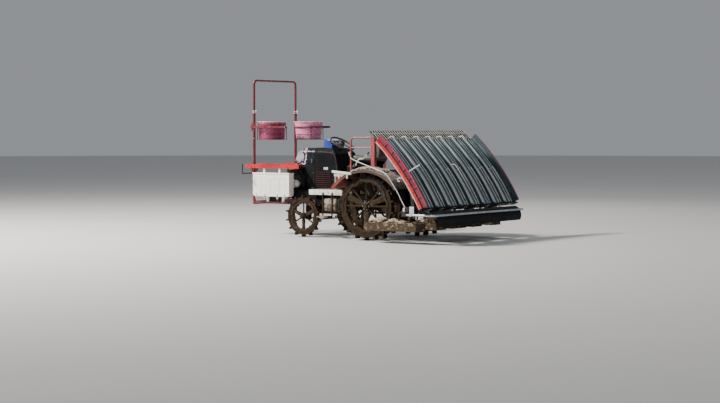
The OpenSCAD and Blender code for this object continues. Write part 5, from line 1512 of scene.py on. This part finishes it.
class TRANSPLANTER_OT_linkage(bpy.types.Operator):
    """Pin heads, clips, turnbuckle and cylinder rings of the lift linkage"""

    bl_idname = "transplanter.linkage"
    bl_label = "Lift linkage"

    def execute(self, context):
        front_x, rear_x, z = REAR_HUB.x - 0.175, REAR_HUB.x - 0.755, REAR_HUB.z - 0.045
        trim = [block("stiffener", (rear_x + 0.07, 0.1605, z - 0.012), (front_x - 0.07, 0.165, z + 0.012), 0.0015)]
        for name, x, body in (("front_pin_heads", front_x, "chassis"), ("rear_pin_heads", rear_x, "planter")):
            pin = [bar_y("head", x, 0.166, 0.173, z, 0.02, 24, 0.001),
                   ring("clip", (x, 0.171, z), (0.3, 1, 0), 0.012, 0.0022, 20, 6)]
            both(name, pin, "bolt_steel", body, "cast_grey")
            trim.append(ring("weld", (x, 0.161, z), Y, 0.028, 0.003, 28, 6))
        both("link_trim", trim, "cast_grey", "lower_links", "cast_grey")
        x, top_z = (front_x + rear_x) / 2, REAR_HUB.z + 0.165
        parts = [bar_x(name, x + x0, x + x1, 0, top_z, r, 6) for name, x0, x1, r in
                 (("sleeve", -0.09, 0.09, 0.026), ("nut", -0.108, -0.092, 0.024), ("nut", 0.092, 0.108, 0.024))]
        fitted("turnbuckle", parts, "cast_grey", "upper_link")
        base = Vector((REAR_HUB.x - 0.135, 0, REAR_HUB.z - 0.175))
        way = (Vector((front_x - 0.28, 0, z)) - base).normalized()
        out = Vector((-way.z, 0, way.x))

        def at(along, off=0.0):
            return base + way * along + out * off

        elbow = [at(0.06, 0.048), at(0.06, 0.062), at(0.05, 0.07), at(0.03, 0.07)]
        parts = [bar("gland", at(0.222), at(0.236), 0.033, 32), bar("foot", at(0.018), at(0.03), 0.033, 32),
                 bar("port", at(0.06, 0.025), at(0.06, 0.05), 0.011, 6), tube("elbow", elbow, 0.006, 3, 5)]
        fitted("barrel_rings", parts, "engine_grey", "cylinder_barrel")
        return {"FINISHED"}


class TRANSPLANTER_OT_planting(bpy.types.Operator):
    """Clamps, covers, float pins, gates, stowed marker arms and rotor covers of the planting part"""

    bl_idname = "transplanter.planting"
    bl_label = "Planting part"

    def execute(self, context):
        beam, mid_z = REAR_HUB.x - 0.905, 0.46
        front, rear = beam + 0.035, beam - 0.035
        rotor = (ROTOR_LOW + ROTOR_HIGH) / 2
        case_ys = [(2 * i + 1 - ROWS / 2) * ROW_PITCH for i in range(ROWS // 2)]
        parts, spots = [block("clamp", (front, -0.052, mid_z - 0.045), (front + 0.009, 0.052, mid_z + 0.045))], []
        for s in SIDES:
            strap = [(front + 0.004, mid_z + 0.038), (beam, mid_z + 0.0385), (rear - 0.002, mid_z + 0.037)]
            parts.append(tube("strap", [(x, s * 0.043, z) for x, z in strap], 0.006, 2, 3))
            spots += [(Vector((front + 0.009, s * 0.04, mid_z + dz)), X) for dz in (-0.032, 0.032)]
            x0, x1, y = rear - 0.006, rotor.x + 0.03, s * 0.035
            top = [Vector((x0, y, mid_z + 0.022)), Vector((x1, y, rotor.z + 0.032))]
            low = [Vector((x0, y, mid_z - 0.028)), Vector((x1, y, rotor.z - 0.034))]
            parts.append(plate("side", [top[0], *low, top[1]], (0, s * 0.004, 0)))
            spots += [(a.lerp(b, share) + Vector((0, s * 0.004, dz)), (0, s, 0))
                      for share in (0.12, 0.36, 0.6, 0.84) for (a, b), dz in ((top, -0.008), (low, 0.008))]
            parts.append(ring("seal", (rotor.x, s * 0.036, rotor.z), Y, 0.034, 0.006, 32, 8))
        plates = spread("case_plates", joined("plates", parts), [(0, y, 0) for y in case_ys])
        dress(plates, "cast_grey", "planter")
        places = [(spot + Y * y, way) for y in case_ys for spot, way in spots]
        dress(bolts("planter_bolts", places, 0.006), "bolt_steel", "planter")
        gear = [block("gear_case", (front - 0.001, -0.085, 0.418), (front + 0.065, 0.085, 0.5), 0.014, 3),
                bar_x("input", front + 0.06, front + 0.09, 0, mid_z, 0.03, 28, 0.004),
                bar_x("stub", front + 0.088, front + 0.105, 0, mid_z, 0.012, 6)]
        fitted("input_case", gear, "cast_grey", "planter")

        pins, top = [], FLOAT_HIGH.z
        for y, half in ((0.0, 0.11), (0.475, 0.08), (-0.475, 0.08), (FLOAT_Y, 0.08), (-FLOAT_Y, 0.08)):
            pins += [bar_y("pin", beam, y - half, y + half, top + 0.05, 0.011),
                     block("lug", (beam - 0.03, y - 0.035, top - 0.002), (beam + 0.03, y + 0.035, top + 0.062), 0.006)]
            if abs(y) == FLOAT_Y:
                bend = ((-0.002, 0.47), (0.07, 0.45), (0.135, 0.4), (0.135, 0.33), (0.135, top - 0.002))
                arm_y = y + math.copysign(0.055, y)
                pins.append(tube("arm", [(front + dx, arm_y, z) for dx, z in bend], 0.013, 2, 3))
        fitted("float_pins", pins, "muddy_steel", "planter")

        a, way = TABLE_A2 + 0.0001, Vector((-math.sin(TABLE_A2), 0, math.cos(TABLE_A2)))
        corners = ((-0.036, -0.03), (0.029, -0.03), (0.029, 0.03), (-0.036, 0.03))
        gate = [plate("gate", [table_point(TABLE_R + dr, a, y) + way * 0.016 for dr, y in corners], way * 0.003)]
        for spot in (table_point(TABLE_R + 0.018, a, y) for y in (-0.022, 0.022)):
            gate.append(bar("screw", spot + way * 0.018, spot + way * 0.023, 0.005, 8))
        rows = [(0, y, 0) for y in lane_ys(0)]
        gates = spread("seedling_gates", joined("gate", gate), rows)
        dress(gates, "bare_steel", "planter")
        y = -0.029
        cover = [bar_y("cover", rotor.x + dx, y, y - 0.006, rotor.z, 0.02, 20, 0.002) for dx in (-0.052, 0.052)]
        cover.append(bar_y("nut", rotor.x, y, y - 0.01, rotor.z, 0.022, 6))
        dress(spread("rotor_covers", joined("cover", cover), rows), "cast_grey", "rotors")

        y = TABLE_Y - 0.1
        bend = ((0.025, 0.475), (0.09, 0.57), (0.14, 0.672), (0.25, 0.82), (0.33, 0.928), (0.4, 0.968), (0.58, 1.022),
                (0.91, 1.13), (0.935, 1.165), (0.95, 1.228))
        arm = [tube("arm", [(beam + dx, y, z) for dx, z in bend], 0.006, 3, 8),
               block("pivot", (front - 0.004, y - 0.016, 0.44), (front + 0.03, y + 0.016, 0.49), 0.004),
               bar("grip", (beam + 0.94, y, 1.18), (beam + 0.951, y, 1.232), 0.009, 14, 0.003)]
        both("marker_arms", arm, "white_rod", "planter", "galvanised")
        y = TABLE_Y - 0.02
        clamp = [block("plate", (rear - 0.11, y - 0.02, 0.395), (rear - 0.04, y - 0.013, 0.512)),
                 block("band", (rear - 0.09, y - 0.018, 0.383), (rear - 0.06, y + 0.017, 0.417), 0.004)]
        both("pipe_clamps", clamp, "ridge_grey", "planter", "galvanised")
        return {"FINISHED"}


class TRANSPLANTER_OT_float_mud(bpy.types.Operator):
    """Heaps of dried mud on the floats"""

    bl_idname = "transplanter.float_mud"
    bl_label = "Mud on the floats"

    # Each heap as x from the rear axle, y from the float's middle, length, width and height
    HEAPS = ((-0.33, 0.0, 0.2, 0.17, 0.05), (-0.45, 0.03, 0.26, 0.18, 0.066), (-0.6, -0.02, 0.24, 0.2, 0.05),
             (-0.74, 0.02, 0.2, 0.17, 0.04), (-0.98, 0.0, 0.16, 0.2, 0.03))

    def execute(self, context):
        x, z, heaps = REAR_HUB.x, FLOAT_HIGH.z - 0.002, []
        for s in SIDES:
            for middle, table, shift, seed in ((FLOAT_Y, self.HEAPS, 0, 3.1), (0.475, self.HEAPS[3:], -0.02, 5.3)):
                for k, (dx, dy, length, width, height) in enumerate(table):
                    heaps.append(heap(x + dx + shift, s * (middle + dy), z, length, width, height, seed * k + s))
        heaps.append(heap(x - 0.985, 0.02, z, 0.12, 0.26, 0.03, 9.0))
        fitted("mud_heaps", heaps, "float_mud", "planter")
        return {"FINISHED"}


class TRANSPLANTER_OT_levers(bpy.types.Operator):
    """Gate plate, boots and knobs of the levers, side box lids and step ribs"""

    bl_idname = "transplanter.levers"
    bl_label = "Levers and boxes"

    def execute(self, context):
        x, y, top = REAR_HUB.x + 0.485, 0.3, SEAT_DECK + 0.105
        gate = block("lever_gate", (x + 0.004, y - 0.036, top - 0.001), (x + 0.136, y + 0.036, top + 0.004))
        dress(gate, "bolt_steel", "chassis")
        lean = Vector((0.03, 0.01, 0.19)).normalized()
        boots = [ring("fold", Vector((x + dx, y, top + 0.003)) + lean * (0.004 + 0.007 * k), lean, 0.018 - 0.002 * k,
                      0.004, 20, 6) for dx in (0.035, 0.1) for k in range(5)]
        fitted("lever_boots", boots, "mat_rubber", "chassis")
        bend = ((0.025, -0.002), (-0.02, 0.098), (-0.075, 0.108), (-0.127, 0.106), (-0.197, 0.187))
        stick = [tube("stick", [(x + dx, y, top + dz) for dx, dz in bend], 0.008, 3, 8),
                 ring("root", (x + 0.025, y, top + 0.002), Z, 0.011, 0.004, 20, 6)]
        fitted("depth_lever", stick, "white_rod", "chassis")
        grip = bar("depth_grip", (x - 0.18, y, top + 0.168), (x - 0.212, y, top + 0.204), 0.014, 20, 0.006)
        dress(grip, "grip_black", "chassis")

        low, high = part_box("side_boxes")
        y = high.y
        lid = [block("lid", (low.x + 0.008, y - 0.002, low.z + 0.012), (high.x - 0.008, y + 0.005, 0.545), 0.004, 3),
               block("latch", (low.x + 0.1, y + 0.004, 0.52), (low.x + 0.13, y + 0.014, 0.56), 0.003)]
        lid += [block("rib", (low.x + 0.03, y + 0.003, z), (high.x - 0.03, y + 0.008, z + 0.008))
                for z in (low.z + 0.04, low.z + 0.11)]
        both("side_box_lids", lid, "grimy_box", "chassis", "pale_plastic")
        low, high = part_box("foot_steps")
        rib = block("rib", (low.x + 0.01, FLOOR_Y + 0.03, low.z + 0.024),
                    (low.x + 0.018, FLOOR_Y + 0.13, low.z + 0.029),
                    0.0015)
        edge = tube("edge", [(x, high.y, low.z + 0.012) for x in (low.x + 0.004, high.x - 0.004)], 0.007, 2)
        both("foot_step_ribs", [row_of(rib, 10, (0.0185, 0, 0), "ribs"), edge], "step_tan", "chassis", "cast_grey")
        y = COWL_HIGH.y - 0.006
        label = [block("plate", (0.6, y - 0.001, 0.955), (0.68, y + 0.0015, 0.99), 0.0006)]
        label += [bar_y("rivet", x, y, y + 0.003, z, 0.002, 8) for x, z in ((0.605, 0.96), (0.675, 0.985))]
        both("blank_plates", label, "zinc", "chassis", "galvanised")
        return {"FINISHED"}


class TRANSPLANTER_OT_table_extras(bpy.types.Operator):
    """Feed belts in the lanes, the hook and the beaded grip on the left guard"""

    bl_idname = "transplanter.table_extras"
    bl_label = "Table extras"

    def execute(self, context):
        a0, a1 = math.radians(145.5), math.radians(150.8)
        half, foot, top = 0.014, TABLE_R - 0.002, TABLE_R + 0.004
        belt = table_strip("belt", [(foot, -half), (top, -half), (top, half), (foot, half)], a0, a1, 10)
        lug = block("lug", (-0.003, -half, -0.001), (0.003, half, 0.008), 0.001)
        lugs = []
        for a in (a0 + (a1 - a0) * (k + 0.5) / 14 for k in range(14)):
            turn = Matrix.Rotation(math.pi / 2 - a, 4, "Y")
            lugs.append(copied(lug, Matrix.Translation(table_point(TABLE_R + 0.003, a)) @ turn))
        bpy.data.objects.remove(lug)
        belts = spread("feed_belts", joined("belt", [belt, *lugs]), [(0, y, 0) for y in lane_ys(-0.0735, 0.0735)])
        dress(belts, "grip_black", "table")
        root = table_point(GUARD_IN + 0.004, math.radians(143.5), TABLE_Y + 0.012)
        bend = ((0, 0), (0.045, 0.012), (0.092, 0.002), (0.1, -0.022), (0.078, -0.04), (0.06, -0.03))
        hook = [tube("hook", [root + Vector((dx, 0, dz)) for dx, dz in bend], 0.006)]
        root = table_point(GUARD_OUT - 0.006, math.radians(143.0), TABLE_Y + 0.012)
        tip = root + Vector((-0.175, 0, 0.092))
        hook.append(tube("stem", [root, root.lerp(tip, 0.5) + Z * 0.004, tip], 0.006))
        hook += [ring("bead", root.lerp(tip, 0.12 + 0.066 * k) + Z * 0.003, tip - root, 0.0065, 0.0042, 14, 6)
                 for k in range(14)]
        fitted("table_hook", hook, "white_rod", "table")
        return {"FINISHED"}


class TRANSPLANTER_OT_stage(bpy.types.Operator):
    """Floor, soft light and the camera of the photograph"""

    bl_idname = "transplanter.stage"
    bl_label = "Stage"

    def execute(self, context):
        start()
        bpy.ops.mesh.primitive_circle_add(vertices=96, radius=70, fill_type="NGON", location=(0, 0, CAD_BOX[0].z))
        floor = settle("floor")
        material = bpy.data.materials.new("studio_floor")
        material.use_nodes = True
        lay = Layout(material.node_tree)
        place = lay.add("ShaderNodeTexCoord").outputs["Object"]
        tone = lay.mix(lay.noise(place, 0.8, 3.0), (0.6, 0.6, 0.59, 1), (0.64, 0.64, 0.63, 1))
        shader = lay.add("ShaderNodeBsdfPrincipled", {"Base Color": tone, "Roughness": 0.85})
        lay.add("ShaderNodeOutputMaterial", {"Surface": shader.outputs[0]})
        floor.data.materials.append(material)
        world = bpy.data.worlds.new("studio")
        context.scene.world = world
        world.use_nodes = True
        lay = Layout(world.node_tree)
        glow = lay.add("ShaderNodeBackground", {"Color": (0.9, 0.94, 1.0, 1), "Strength": 0.32})
        lay.add("ShaderNodeOutputWorld", {"Surface": glow.outputs[0]})
        for name, place, size, power, colour in LIGHTS:
            bpy.ops.object.light_add(type="AREA", location=place)
            light = context.object
            light.name = name
            light.data.size = size
            light.data.energy = power
            light.data.color = colour
            light.rotation_mode = "QUATERNION"
            light.rotation_quaternion = (Vector((0, 0, 0.8)) - Vector(place)).to_track_quat("-Z", "Y")
        bpy.ops.object.camera_add(location=CAMERA_PLACE)
        camera = context.object
        camera.name = "photo_camera"
        camera.data.lens = CAMERA_LENS
        camera.data.sensor_width = 36.0
        pitch, turn = math.radians(CAMERA_PITCH), math.radians(CAMERA_TURN)
        look = Vector((math.sin(turn) * math.cos(pitch), -math.cos(turn) * math.cos(pitch), -math.sin(pitch)))
        camera.rotation_mode = "QUATERNION"
        camera.rotation_quaternion = look.to_track_quat("-Z", "Y")
        camera.data.clip_end = 300
        context.scene.camera = camera
        return {"FINISHED"}


# Lights as name, place, size, power, colour
LIGHTS = (
    ("key_light", (7.8, 7.4, 9.6), 1.6, 4300.0, (1.0, 0.95, 0.87)),
    ("fill_light", (1.5, 12.0, 4.5), 6.0, 190.0, (0.9, 0.95, 1.0)),
    ("back_light", (4.0, -9.0, 7.0), 6.0, 200.0, (1.0, 0.98, 0.95)),
)

# The photograph's camera: place, turn from the -Y direction towards +X, pitch down, lens on a 36 mm sensor
CAMERA_PLACE = (-13.805, 20.02, 1.57)
CAMERA_TURN = 35.0
CAMERA_PITCH = 2.51
CAMERA_LENS = 85.0

OPERATORS = (
    TRANSPLANTER_OT_stage,
    TRANSPLANTER_OT_finishes,
    TRANSPLANTER_OT_seat,
    TRANSPLANTER_OT_lanes,
    TRANSPLANTER_OT_bonnet,
    TRANSPLANTER_OT_cowl,
    TRANSPLANTER_OT_carriers,
    TRANSPLANTER_OT_tubs,
    TRANSPLANTER_OT_trays,
    TRANSPLANTER_OT_lamps,
    TRANSPLANTER_OT_deck,
    TRANSPLANTER_OT_fenders,
    TRANSPLANTER_OT_wheels,
    TRANSPLANTER_OT_table_fittings,
    TRANSPLANTER_OT_driveline,
    TRANSPLANTER_OT_axles,
    TRANSPLANTER_OT_linkage,
    TRANSPLANTER_OT_planting,
    TRANSPLANTER_OT_float_mud,
    TRANSPLANTER_OT_levers,
    TRANSPLANTER_OT_table_extras,
)


class TRANSPLANTER_PT_panel(bpy.types.Panel):
    """Lists the dressing steps"""

    bl_idname = "TRANSPLANTER_PT_panel"
    bl_label = "Transplanter"
    bl_space_type = "VIEW_3D"
    bl_region_type = "UI"
    bl_category = "Transplanter"

    def draw(self, context):
        for settings in (context.scene.transplanter_sizes, context.scene.transplanter_colours):
            for name in settings.__annotations__:
                self.layout.prop(settings, name)
        for operator in OPERATORS:
            self.layout.operator(operator.bl_idname)


CLASSES = (TransplanterSizes, TransplanterColours, *OPERATORS, TRANSPLANTER_PT_panel)


def register():
    for cls in CLASSES:
        bpy.utils.register_class(cls)
    bpy.types.Scene.transplanter_sizes = PointerProperty(type=TransplanterSizes)
    bpy.types.Scene.transplanter_colours = PointerProperty(type=TransplanterColours)


def unregister():
    del bpy.types.Scene.transplanter_colours
    del bpy.types.Scene.transplanter_sizes
    for cls in reversed(CLASSES):
        bpy.utils.unregister_class(cls)


def main():
    """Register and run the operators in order."""
    register()
    for operator in OPERATORS:
        part, name = operator.bl_idname.split(".")
        getattr(getattr(bpy.ops, part), name)()


if __name__ == "__main__":
    main()
